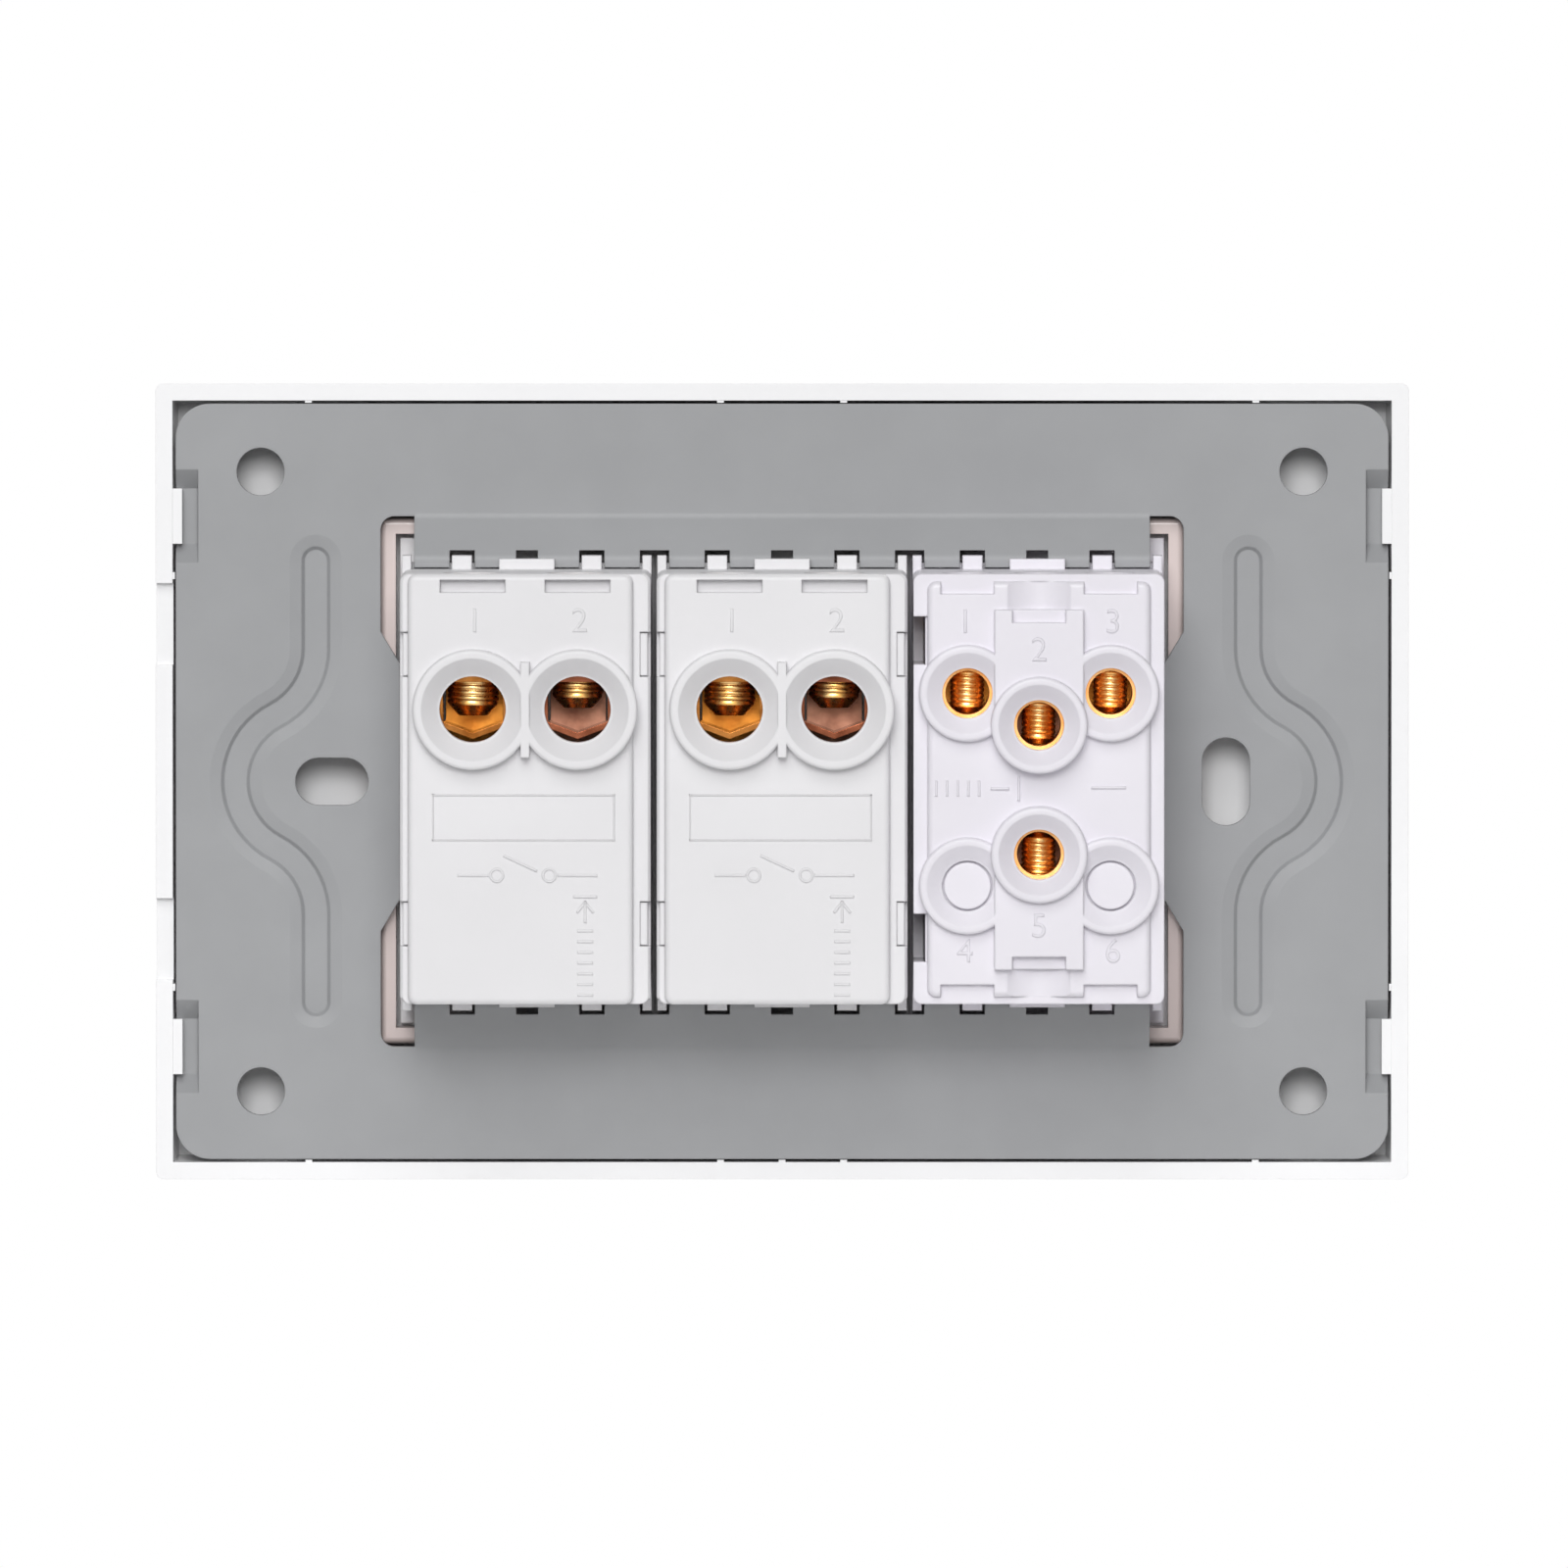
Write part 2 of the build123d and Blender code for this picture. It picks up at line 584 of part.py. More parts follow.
def single_cover(middle):
    field_x = about(middle + COVER_SHIFT, COVER_W)
    top = MODULE_H / 2
    plate = rounded_slab(field_x, (HOUSING_BACK_Y, COVER_BACK_Y), (-MODULE_H / 2, top), MODULE_CORNER_R)
    cover = fillet(back_edges(plate), COVER_EDGE_R)
    cover += cover_base(middle, top)
    heel_y = (HOUSING_BACK_Y - HEEL_DEPTH + SLIP, HOUSING_BACK_Y)
    heel_z = (-MODULE_H / 2, -MODULE_H / 2 + HEEL_H - SLIP)
    cover += slab(about(middle, MODULE_W - 2 * MODULE_CORNER_R), heel_y, heel_z)
    cover += cover_plug(middle)
    cover += tab_slots(middle, 0)
    rim_y = COVER_BACK_Y + COLLAR_H
    rib = slab(about(middle, COLLAR_RIB_W), (COVER_BACK_Y, rim_y), about(TERMINAL_Z, COLLAR_RIB_H))
    for side in BOTH:
        cover += collar(middle + side * TERMINAL_X, TERMINAL_Z, COLLAR_R, (COVER_BACK_Y, rim_y))
    cover += rib
    for side in BOTH:
        x = middle + side * TERMINAL_X
        floor = COVER_BACK_Y + COLLAR_FLOOR
        cover -= funnel(x, TERMINAL_Z, ENTRY_R, COLLAR_R - COLLAR_RING, (floor, rim_y)) - rib
        cover -= rod_y(x, TERMINAL_Z, ENTRY_R, (HOUSING_BACK_Y, floor))
        recess = (top - ACCESS_RIM - ACCESS_DROP, top - ACCESS_RIM)
        cover -= slab(about(x, ACCESS_W), (HOUSING_BACK_Y + COVER_BASE_T, COVER_BACK_Y), recess)
        head = (CAVITY_H / 2 - HOUSING_WALL - PLUG_WALL, MODULE_H / 2)
        cover -= rod_z(x, SCREW_Y, SCREW_HEAD_R + ACCESS_CLEARANCE, head)
    return cover


def double_housing(middle):
    gangs = [side * DOUBLE_GANG_X for side in BOTH]
    body = module_body(middle, gangs, DOUBLE_CELL_W)
    wall = (CAVITY_H / 2, MODULE_H / 2)
    for x, _, side in double_terminals():
        through = sorted((side * wall[0], side * wall[1]))
        body -= rod_z(middle + x, SCREW_Y, DOUBLE_HEAD_R + ACCESS_CLEARANCE, through)
    for side in BOTH:
        x = (middle + CAVITY_W / 2, middle + MODULE_W / 2)
        y = (HOUSING_BACK_Y - DOUBLE_POCKET_DEPTH, HOUSING_BACK_Y)
        body -= slab(x, y, about(side * DOUBLE_POCKET_Z, DOUBLE_POCKET_H))
    return body


def double_terminals():
    """X, Z and the side that the screw enters from, for the four live terminals of the double module."""
    return [
        (DOUBLE_OUTER_X, DOUBLE_OUTER_Z, 1),
        (-DOUBLE_OUTER_X, DOUBLE_OUTER_Z, 1),
        (0.0, DOUBLE_MIDDLE_Z, 1),
        (0.0, -DOUBLE_MIDDLE_Z, -1),
    ]


def double_field(middle):
    """The stepped outer face of the double cover, before its wire entries are cut."""
    base_y = HOUSING_BACK_Y + DOUBLE_BASE_T
    base_x, field_x = about(middle, MODULE_W), about(middle, DOUBLE_FIELD_W)
    base = rounded_slab(base_x, (HOUSING_BACK_Y, base_y), about(0, MODULE_H), MODULE_CORNER_R)
    field_h = MODULE_H - 2 * DOUBLE_FIELD_INSET
    field = rounded_slab(field_x, (base_y, DOUBLE_FIELD_Y), about(0, field_h), MODULE_CORNER_R)
    cover = base + fillet(back_edges(field), COVER_EDGE_R)
    for side in BOTH:
        edge = side * field_h / 2
        for x in BOTH:
            notch_x = about(middle + x * DOUBLE_OUTER_X, DOUBLE_ACCESS_W)
            notch_z = sorted((edge - side * DOUBLE_ACCESS_DROP, edge))
            cover -= slab(notch_x, (base_y, DOUBLE_FIELD_Y), notch_z)
        channel = sorted((side * DOUBLE_BLOCK_TOP_Z, edge))
        centre_y = DOUBLE_FIELD_Y - DOUBLE_CHANNEL_DEPTH + DOUBLE_CHANNEL_R
        cover -= rod_z(middle, centre_y, DOUBLE_CHANNEL_R, channel)
        for x in BOTH:
            place = (middle + x * DOUBLE_OUTER_X, side * DOUBLE_OUTER_Z)
            cover += collar(*place, DOUBLE_COLLAR_R, (base_y, DOUBLE_RIM_Y))
            floor = (DOUBLE_FIELD_Y + COLLAR_FLOOR, DOUBLE_RIM_Y)
            cover -= funnel(*place, DOUBLE_ENTRY_R, DOUBLE_COLLAR_R - DOUBLE_COLLAR_RING, floor)
        cover += middle_block(middle, side)
        pocket_x = about(middle + MODULE_W / 2, MODULE_W - DOUBLE_FIELD_W)
        cover -= slab(pocket_x, (HOUSING_BACK_Y, base_y), about(side * DOUBLE_POCKET_Z, DOUBLE_POCKET_H))
    return cover


def middle_block(middle, side):
    """The raised block with the middle wire entry, which stands over its two neighbours."""
    block_y = (DOUBLE_FIELD_Y, DOUBLE_FIELD_Y + DOUBLE_BLOCK_H)
    rim_y = block_y[1] + DOUBLE_COLLAR_H
    top = side * DOUBLE_BLOCK_TOP_Z
    centre = side * DOUBLE_MIDDLE_Z
    block = slab(about(middle, DOUBLE_BLOCK_W), block_y, sorted((centre, top)))
    notch = sorted((top - side * ACCESS_DROP, top))
    block -= slab(about(middle, DOUBLE_ACCESS_W), block_y, notch)
    block += collar(middle, centre, DOUBLE_COLLAR_R, (block_y[0], rim_y))
    mouth_r = DOUBLE_COLLAR_R - DOUBLE_COLLAR_RING
    return block - funnel(middle, centre, DOUBLE_ENTRY_R, mouth_r, (block_y[1], rim_y))


def double_cover(middle):
    cover = double_field(middle)
    cover += cover_plug(middle)
    for x, z, side in double_terminals():
        floor = DOUBLE_FIELD_Y + (DOUBLE_BLOCK_H if x == 0 else COLLAR_FLOOR)
        cover -= rod_y(middle + x, z, DOUBLE_ENTRY_R, (HOUSING_BACK_Y, floor))
        head = sorted((side * (CAVITY_H / 2 - SLIP - PLUG_WALL), side * MODULE_H / 2))
        cover -= rod_z(middle + x, SCREW_Y, DOUBLE_HEAD_R + ACCESS_CLEARANCE, head)
    for x_side in BOTH:
        place = (middle + x_side * DOUBLE_OUTER_X, -DOUBLE_OUTER_Z)
        depth = (DOUBLE_FIELD_Y + COLLAR_FLOOR - BLANK_GROOVE_DEPTH, DOUBLE_FIELD_Y + COLLAR_FLOOR)
        cover -= rod_y(*place, BLANK_R, depth) - rod_y(*place, BLANK_R - BLANK_GROOVE, depth)
    return cover


def single_block(x):
    """A cage terminal: a thick top that the screw threads into, thin sides and a folded vee floor."""
    z = TERMINAL_Z
    y = (BLOCK_FRONT_Y, HOUSING_BACK_Y)
    half, wall = TUNNEL_W / 2, BLOCK_W / 2
    slope = (TUNNEL_LOW - TUNNEL_SIDE_LOW) / half
    drop = CAGE_FLOOR_T * math.hypot(1, slope)
    outline = vee(x, z, wall, BLOCK_ABOVE, TUNNEL_LOW + drop, slope)
    tunnel = vee(x, z, half, TUNNEL_TOP, TUNNEL_LOW, slope)
    block = through_wall(outline - tunnel, y)
    return block - rod_z(x, SCREW_Y, SCREW_R + RUNNING, (z, z + BLOCK_ABOVE))


def vee(x, z, half, top, low, slope):
    """An outline with upright sides, a flat top and a bottom that slopes down to its middle."""
    side_low = z - low + slope * half
    return make_face(Polyline(
        (x - half, z + top), (x + half, z + top), (x + half, side_low), (x, z - low), (x - half, side_low),
        close=True,
    ))


def double_block(x, z, side):
    """A barrel terminal: a round tunnel and, across it, a drilled hole that pockets the screw's tip."""
    y = (BLOCK_FRONT_Y, HOUSING_BACK_Y)
    span = sorted((z - side * DOUBLE_BLOCK_BELOW, z + side * DOUBLE_BLOCK_ABOVE))
    block = slab(about(x, 2 * DOUBLE_BLOCK_HALF), y, span)
    block -= rod_y(x, z, DOUBLE_TUNNEL_R, y)
    hole = sorted((z - side * DOUBLE_SEAT, z + side * DOUBLE_BLOCK_ABOVE))
    return block - rod_z(x, SCREW_Y, DOUBLE_SCREW_R + RUNNING, hole)


def clamp_screw(x, tip, side, sizes):
    """A slotted clamp screw whose tip is at the given Z and whose head is on the given side of it."""
    radius, length, head_r, head_h, tip_r = sizes
    screw = rod_z(x, SCREW_Y, radius, (0, length))
    screw = fillet(screw.faces().sort_by(Axis.Z)[0].edges(), tip_r)
    screw += rod_z(x, SCREW_Y, head_r, (length, length + head_h))
    top = (length + head_h - SCREW_SLOT_DEPTH, length + head_h)
    screw -= slab(about(x, 2 * head_r), about(SCREW_Y, SCREW_SLOT_W), top)
    if side < 0:
        screw = screw.rotate(Axis((x, SCREW_Y, 0), (0, 1, 0)), 180)
    return Pos(0, 0, tip) * screw


def rocker(x, cell_w, key_x, key_w):
    """A key with two cheeks on pivot pins and a stem that guides the plunger, in its off position."""
    key_back = KEY_FRONT_Y + KEY_T
    half = KEY_H / 2
    low, high = (KEY_FRONT_Y + KEY_CROWN, -half), (KEY_FRONT_Y + KEY_CROWN, half)
    crown = ThreePointArc(low, (KEY_FRONT_Y, 0), high)
    sides = Polyline(high, (key_back, half), (key_back, -half), low)
    body = extrude(Plane.YZ.offset(key_x - key_w / 2) * make_face([crown, sides]), amount=key_w)
    body = fillet(body.faces().sort_by(Axis.Y)[0].edges(), KEY_EDGE_R)
    body += rod_y(x, 0, STEM_R, (key_back, PIVOT_Y + STEM_REACH))
    for side in BOTH:
        outer = x + side * (cell_w / 2 - CHEEK_CLEARANCE)
        inner = outer - side * CHEEK_T
        cheek_x = sorted((inner, outer))
        body += slab(cheek_x, (key_back, PIVOT_Y), about(0, 2 * CHEEK_R))
        body += rod_x(PIVOT_Y, 0, CHEEK_R, cheek_x)
        pin = sorted((outer, outer + side * (CHEEK_CLEARANCE + PIVOT_ENGAGE - SLIP)))
        body += rod_x(PIVOT_Y, 0, PIVOT_R, pin)
    body -= rod_y(x, 0, STEM_BORE_R, (STEM_BORE_FLOOR_Y, PIVOT_Y + STEM_REACH))
    return tilt_rocker(body)


def tilt_rocker(piece):
    return piece.rotate(Axis((0, PIVOT_Y, 0), (1, 0, 0)), -ROCKER_TILT_DEG)


def plunger(x):
    """A round-nosed pin that the spring pushes out of the stem, against the contact arm."""
    tilt = math.radians(ROCKER_TILT_DEG)
    arm_tilt = math.radians(ARM_TILT_DEG)
    room = (ARM_PIVOT_Y - PIVOT_Y) * math.cos(arm_tilt) - ARM_FRONT - PLUNGER_TIP_R - PLUNGER_AIR
    nose = PIVOT_Y + room / math.cos(tilt + arm_tilt)
    back = PIVOT_Y - PLUNGER_BACK
    pin = rod_y(x, 0, STEM_BORE_R - SLIP, (back, back + PLUNGER_SHANK_L))
    pin += rod_y(x, 0, PLUNGER_TIP_R, (back, nose))
    pin += Pos(x, nose, 0) * Sphere(PLUNGER_TIP_R)
    return tilt_rocker(pin)


def spring(x):
    end = SPRING_WIRE_R + RUNNING
    length = PIVOT_Y - PLUNGER_BACK - STEM_BORE_FLOOR_Y - 2 * end
    pitch = length / SPRING_TURNS
    line = Helix(pitch, length, SPRING_R)
    wire = Plane(line @ 0, z_dir=line % 0) * Circle(SPRING_WIRE_R)
    coil = sweep(wire, path=line, is_frenet=True)
    return tilt_rocker(Pos(x, STEM_BORE_FLOOR_Y + end, 0) * Rot(-90, 0, 0) * coil)


def tilt_arm(piece):
    return piece.rotate(Axis((0, ARM_PIVOT_Y, 0), (1, 0, 0)), ARM_TILT_DEG)


def contact_arm(x):
    front = ARM_PIVOT_Y - ARM_FRONT
    arm = slab(about(x, ARM_W), (front, front + ARM_T), (-ARM_LOW, ARM_HIGH))
    arm += rod_x(ARM_PIVOT_Y, 0, ARM_PIN_R, about(x, ARM_W))
    return tilt_arm(arm)


def moving_contact(x):
    back = ARM_PIVOT_Y - ARM_FRONT + ARM_T
    button = rod_y(x, CONTACT_Z, CONTACT_R, (back, back + CONTACT_T))
    return tilt_arm(fillet(back_edges(button), CONTACT_EDGE_R))


def fixed_contact(x):
    """The button that the moving contact meets when the arm has swung over."""
    swing = math.radians(ARM_TILT_DEG)
    face = ARM_T + CONTACT_T - ARM_FRONT
    y = ARM_PIVOT_Y + face * math.cos(swing) + (CONTACT_Z + CONTACT_R) * math.sin(swing) + CONTACT_AIR
    button = rod_y(x, CONTACT_Z, CONTACT_R, (y, STRIP_FRONT_Y))
    return fillet(button.faces().sort_by(Axis.Y)[0].edges(), CONTACT_EDGE_R)


def fixed_strip(block_x, block_z, x):
    y = (STRIP_FRONT_Y, BLOCK_FRONT_Y)
    strip = slab(about(block_x, STRIP_W), y, (block_z - STRIP_BELOW, block_z + STRIP_ABOVE))
    reach = x - math.copysign(STRIP_BAR_W / 2, block_x - x)
    return strip + slab(sorted((block_x, reach)), y, about(CONTACT_Z, STRIP_BAR_W))


def common_strip(block_x, block_z, x):
    """The strip from the common terminal to the fulcrum, a cradle that the contact arm rocks in."""
    y = (STRIP_FRONT_Y, BLOCK_FRONT_Y)
    side = math.copysign(1, x - block_x)
    up = math.copysign(1, block_z)
    foot = up * FULCRUM_H / 2
    strip = slab(about(block_x, STRIP_W), y, about(block_z, 2 * STRIP_BELOW))
    leg_x = block_x + side * STRIP_LEG_X
    strip += slab(about(leg_x, STRIP_LEG_W), y, sorted((-foot, block_z)))
    reach = sorted((leg_x - side * STRIP_LEG_W / 2, x + side * ARM_W / 2))
    strip += slab(reach, y, about(0, FULCRUM_H))
    cradle = (ARM_PIVOT_Y + FULCRUM_BACKLASH, STRIP_FRONT_Y)
    strip += slab(about(x, ARM_W), cradle, about(0, FULCRUM_H))
    return strip - rod_x(ARM_PIVOT_Y, 0, ARM_PIN_R + RUNNING, about(x, ARM_W + 2 * SLIP))


def switch_pieces(gang, x, common, load):
    """The plunger, spring and contacts of one switch. common and load are its terminals' X and Z."""
    return {
        f"plunger_{gang}": plunger(x),
        f"spring_{gang}": spring(x),
        f"contact_arm_{gang}": contact_arm(x),
        f"moving_contact_{gang}": moving_contact(x),
        f"fixed_contact_{gang}": fixed_contact(x),
        f"fixed_strip_{gang}": fixed_strip(*load, x),
        f"common_strip_{gang}": common_strip(*common, x),
    }


def single_module(name, gang):
    middle = MODULE_PLACES[name]
    common, load = middle - TERMINAL_X, middle + TERMINAL_X
    sizes = (SCREW_R, SCREW_L, SCREW_HEAD_R, SCREW_HEAD_H, SCREW_TIP_R)
    pieces = {
        f"housing_{name}": single_housing(middle),
        f"cover_{name}": single_cover(middle),
        f"rocker_{gang}": rocker(middle, CAVITY_W, middle, MODULE_PITCH - KEY_GAP),
        f"terminal_common_{gang}": single_block(common),
        f"terminal_load_{gang}": single_block(load),
        f"screw_common_{gang}": clamp_screw(common, TERMINAL_Z + COMMON_TIP, 1, sizes),
        f"screw_load_{gang}": clamp_screw(load, TERMINAL_Z + LOAD_TIP, 1, sizes),
    }
    return pieces | switch_pieces(gang, middle, (common, TERMINAL_Z), (load, TERMINAL_Z))


def double_module(name, gangs):
    middle = MODULE_PLACES[name]
    key_w = MODULE_PITCH / 2 - KEY_GAP
    sizes = (DOUBLE_SCREW_R, DOUBLE_SCREW_L, DOUBLE_HEAD_R, DOUBLE_HEAD_H, DOUBLE_TIP_R)
    pieces = {f"housing_{name}": double_housing(middle), f"cover_{name}": double_cover(middle)}
    for gang, side in zip(gangs, (-1, 1)):
        x = middle + side * DOUBLE_GANG_X
        common = (middle, side * DOUBLE_MIDDLE_Z)
        load = (middle + side * DOUBLE_OUTER_X, DOUBLE_OUTER_Z)
        pieces[f"rocker_{gang}"] = rocker(x, DOUBLE_CELL_W, middle + side * MODULE_PITCH / 4, key_w)
        for use, place, entry in (("common", common, side), ("load", load, 1)):
            pieces[f"terminal_{use}_{gang}"] = double_block(*place, entry)
            tip = place[1] + entry * DOUBLE_TIP
            pieces[f"screw_{use}_{gang}"] = clamp_screw(place[0], tip, entry, sizes)
        pieces |= switch_pieces(gang, x, common, load)
    return pieces


def main():
    pieces = {"face_plate": face_plate(), "mounting_strap": mounting_strap()}
    pieces |= double_module("double", (1, 2))
    pieces |= single_module("middle", 3)
    pieces |= single_module("right", 4)
    os.makedirs("parts", exist_ok=True)
    for name, piece in pieces.items():
        export_step(piece, f"parts/{name}.step")


main()
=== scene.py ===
import json
import math

import bmesh
import bpy
from mathutils import Matrix, Vector


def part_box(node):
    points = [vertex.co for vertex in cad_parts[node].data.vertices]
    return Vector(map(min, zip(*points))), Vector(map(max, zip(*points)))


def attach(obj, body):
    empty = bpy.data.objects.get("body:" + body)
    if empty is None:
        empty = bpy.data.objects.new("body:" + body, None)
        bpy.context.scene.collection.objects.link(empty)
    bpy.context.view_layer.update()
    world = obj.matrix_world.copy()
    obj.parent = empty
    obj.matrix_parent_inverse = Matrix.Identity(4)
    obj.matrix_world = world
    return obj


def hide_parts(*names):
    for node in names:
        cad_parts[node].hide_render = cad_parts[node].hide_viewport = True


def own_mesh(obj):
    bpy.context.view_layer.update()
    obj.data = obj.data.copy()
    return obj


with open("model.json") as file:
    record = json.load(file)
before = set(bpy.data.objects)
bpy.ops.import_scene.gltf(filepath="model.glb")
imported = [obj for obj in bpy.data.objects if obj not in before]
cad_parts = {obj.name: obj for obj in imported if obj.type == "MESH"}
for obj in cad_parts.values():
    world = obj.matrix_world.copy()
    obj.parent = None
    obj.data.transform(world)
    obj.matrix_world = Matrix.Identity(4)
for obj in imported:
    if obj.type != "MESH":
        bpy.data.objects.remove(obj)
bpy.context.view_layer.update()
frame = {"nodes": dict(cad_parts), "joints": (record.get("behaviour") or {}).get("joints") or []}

MM = 0.001

# Front plate: one injection moulding in white ABS, with a polished outer face and a snap rim at the back.
# The collar about its opening is thinner. Behind the face there, a darker warm tint is painted over the
# white:
# painted shade and painted warm light, standing in for the shade behind the strap and the lamplight that
# comes back warm through it.
PLATE_WHITE = "FCFCFD"
# Painted shade: the darker warm tint painted on the plate behind its face, about the opening.
COLLAR_PAINTED_SHADE = "E6D6D2"
COLLAR_HALF_X = 39 * MM
COLLAR_HALF_Z = 27 * MM
COLLAR_FOOT_Y = -6.4 * MM
PLASTIC_IOR = 1.53
FLOW_MM = 14
FLOW_SHADE = 0.965
FLOW_BAND = (0.3, 0.7)
GRAIN_ROUGH = (-0.04, 0.05)
GRAIN_STRENGTH = 0.35
EDGE_SAMPLES = 4


def tint(hex_code):
    """An sRGB hex colour as linear values with full alpha."""
    channels = [int(hex_code[i:i + 2], 16) / 255 for i in (0, 2, 4)]
    linear = [c / 12.92 if c <= 0.04045 else ((c + 0.055) / 1.055) ** 2.4 for c in channels]
    return (*linear, 1.0)


def add(tree, kind, settings=None, values=None, links=None):
    """Adds a node, sets its properties and its input values, and links its inputs by name or number."""
    made = tree.nodes.new(kind)
    for key, value in (settings or {}).items():
        setattr(made, key, value)
    for key, value in (values or {}).items():
        made.inputs[key].default_value = value
    for key, source in (links or {}).items():
        tree.links.new(source, made.inputs[key])
    return made


def new_finish(name):
    """A material with an empty surface shader, and the piece's own coordinates to hang patterns on."""
    finish = bpy.data.materials.new(name)
    finish.use_nodes = True
    tree = finish.node_tree
    tree.nodes.clear()
    surface = add(tree, "ShaderNodeBsdfPrincipled")
    add(tree, "ShaderNodeOutputMaterial", links={"Surface": surface.outputs["BSDF"]})
    place = add(tree, "ShaderNodeTexCoord").outputs["Object"]
    return finish, tree, surface, place


def dress(finish, *nodes):
    """Gives CAD nodes their finish."""
    for name in nodes:
        slots = frame["nodes"][name].data.materials
        slots.clear()
        slots.append(finish)


def moulded(name, colour, rough, grain_mm, grain_depth_mm, edge_mm):
    """A thermoplastic as it leaves the tool: faint flow shading, the grain of the tool and soft edges.

    Tool grain is under a tenth of a millimetre, too fine to show, so grain_mm draws it coarser.
    """
    finish, tree, surface, place = new_finish(name)
    surface.inputs["IOR"].default_value = PLASTIC_IOR
    flow = add(tree, "ShaderNodeTexNoise", values={"Scale": 1 / (FLOW_MM * MM), "Detail": 2.0},
               links={"Vector": place})
    deep = [c * FLOW_SHADE for c in tint(colour)[:3]]
    shade = add(tree, "ShaderNodeValToRGB", links={"Fac": flow.outputs["Fac"]})
    for stop, position, tone in zip(shade.color_ramp.elements, FLOW_BAND, ((*deep, 1.0), tint(colour))):
        stop.position = position
        stop.color = tone
    tree.links.new(shade.outputs["Color"], surface.inputs["Base Color"])
    grain = add(tree, "ShaderNodeTexNoise", values={"Scale": 1 / (grain_mm * MM), "Detail": 3.0},
                links={"Vector": place})
    spread = add(tree, "ShaderNodeMapRange",
                 values={"To Min": rough + GRAIN_ROUGH[0], "To Max": rough + GRAIN_ROUGH[1]},
                 links={"Value": grain.outputs["Fac"]})
    tree.links.new(spread.outputs["Result"], surface.inputs["Roughness"])
    edge = add(tree, "ShaderNodeBevel", {"samples": EDGE_SAMPLES}, {"Radius": edge_mm * MM})
    relief = add(tree, "ShaderNodeBump",
                 values={"Strength": GRAIN_STRENGTH, "Distance": grain_depth_mm * MM},
                 links={"Height": grain.outputs["Fac"], "Normal": edge.outputs["Normal"]})
    tree.links.new(relief.outputs["Normal"], surface.inputs["Normal"])
    return finish, tree, surface, place, shade


plate_abs, tree, surface, place, white = moulded(
    "polished moulded ABS", PLATE_WHITE, rough=0.24, grain_mm=0.5, grain_depth_mm=0.01, edge_mm=0.08)
reach = add(tree, "ShaderNodeVectorMath", {"operation": "ABSOLUTE"}, links={0: place})
far = add(tree, "ShaderNodeSeparateXYZ", links={"Vector": reach.outputs["Vector"]})
deep = add(tree, "ShaderNodeSeparateXYZ", links={"Vector": place})
inside = [
    add(tree, "ShaderNodeMath", {"operation": "LESS_THAN"}, {1: COLLAR_HALF_X}, {0: far.outputs["X"]}),
    add(tree, "ShaderNodeMath", {"operation": "LESS_THAN"}, {1: COLLAR_HALF_Z}, {0: far.outputs["Z"]}),
    add(tree, "ShaderNodeMath", {"operation": "GREATER_THAN"}, {1: COLLAR_FOOT_Y}, {0: deep.outputs["Y"]}),
]
corner = add(tree, "ShaderNodeMath", {"operation": "MULTIPLY"},
             links={0: inside[0].outputs["Value"], 1: inside[1].outputs["Value"]})
collar_shade_mask = add(tree, "ShaderNodeMath", {"operation": "MULTIPLY"},
             links={0: corner.outputs["Value"], 1: inside[2].outputs["Value"]})
# Painted shade: within the collar's box and behind the face, the white gives way to the darker warm tint.
painted_collar_shade = add(tree, "ShaderNodeMix", {"data_type": "RGBA"}, {7: tint(COLLAR_PAINTED_SHADE)},
           {"Factor": collar_shade_mask.outputs["Value"], 6: white.outputs["Color"]})
tree.links.new(painted_collar_shade.outputs[2], surface.inputs["Base Color"])
dress(plate_abs, "face_plate")

# Mounting strap: blanked and pressed from sheet steel, then sprayed with a satin grey paint.
# The paint has a fine orange peel, which breaks up its sheen, and the blanked edges are slightly rounded.
STRAP_GREY = "9E9FA1"
STRAP_DEEP = "999A9C"
PAINT_IOR = 1.5
PAINT_ROUGH = (0.42, 0.54)
CLOUD_MM = 9
CLOUD_BAND = (0.3, 0.7)
PEEL_MM = 0.35
PEEL_DEPTH_MM = 0.012
PEEL_STRENGTH = 0.3
STRAP_EDGE_MM = 0.18

sprayed_steel, tree, surface, place = new_finish("satin paint on pressed steel")
surface.inputs["IOR"].default_value = PAINT_IOR
cloud = add(tree, "ShaderNodeTexNoise", values={"Scale": 1 / (CLOUD_MM * MM), "Detail": 3.0},
            links={"Vector": place})
grey = add(tree, "ShaderNodeValToRGB", links={"Fac": cloud.outputs["Fac"]})
for stop, position, tone in zip(grey.color_ramp.elements, CLOUD_BAND, (STRAP_DEEP, STRAP_GREY)):
    stop.position = position
    stop.color = tint(tone)
tree.links.new(grey.outputs["Color"], surface.inputs["Base Color"])
peel = add(tree, "ShaderNodeTexNoise", values={"Scale": 1 / (PEEL_MM * MM), "Detail": 2.0},
           links={"Vector": place})
gloss = add(tree, "ShaderNodeMapRange", values={"To Min": PAINT_ROUGH[0], "To Max": PAINT_ROUGH[1]},
            links={"Value": peel.outputs["Fac"]})
tree.links.new(gloss.outputs["Result"], surface.inputs["Roughness"])
edge = add(tree, "ShaderNodeBevel", {"samples": EDGE_SAMPLES}, {"Radius": STRAP_EDGE_MM * MM})
orange = add(tree, "ShaderNodeBump", values={"Strength": PEEL_STRENGTH, "Distance": PEEL_DEPTH_MM * MM},
             links={"Height": peel.outputs["Fac"], "Normal": edge.outputs["Normal"]})
tree.links.new(orange.outputs["Normal"], surface.inputs["Normal"])
dress(sprayed_steel, "mounting_strap")

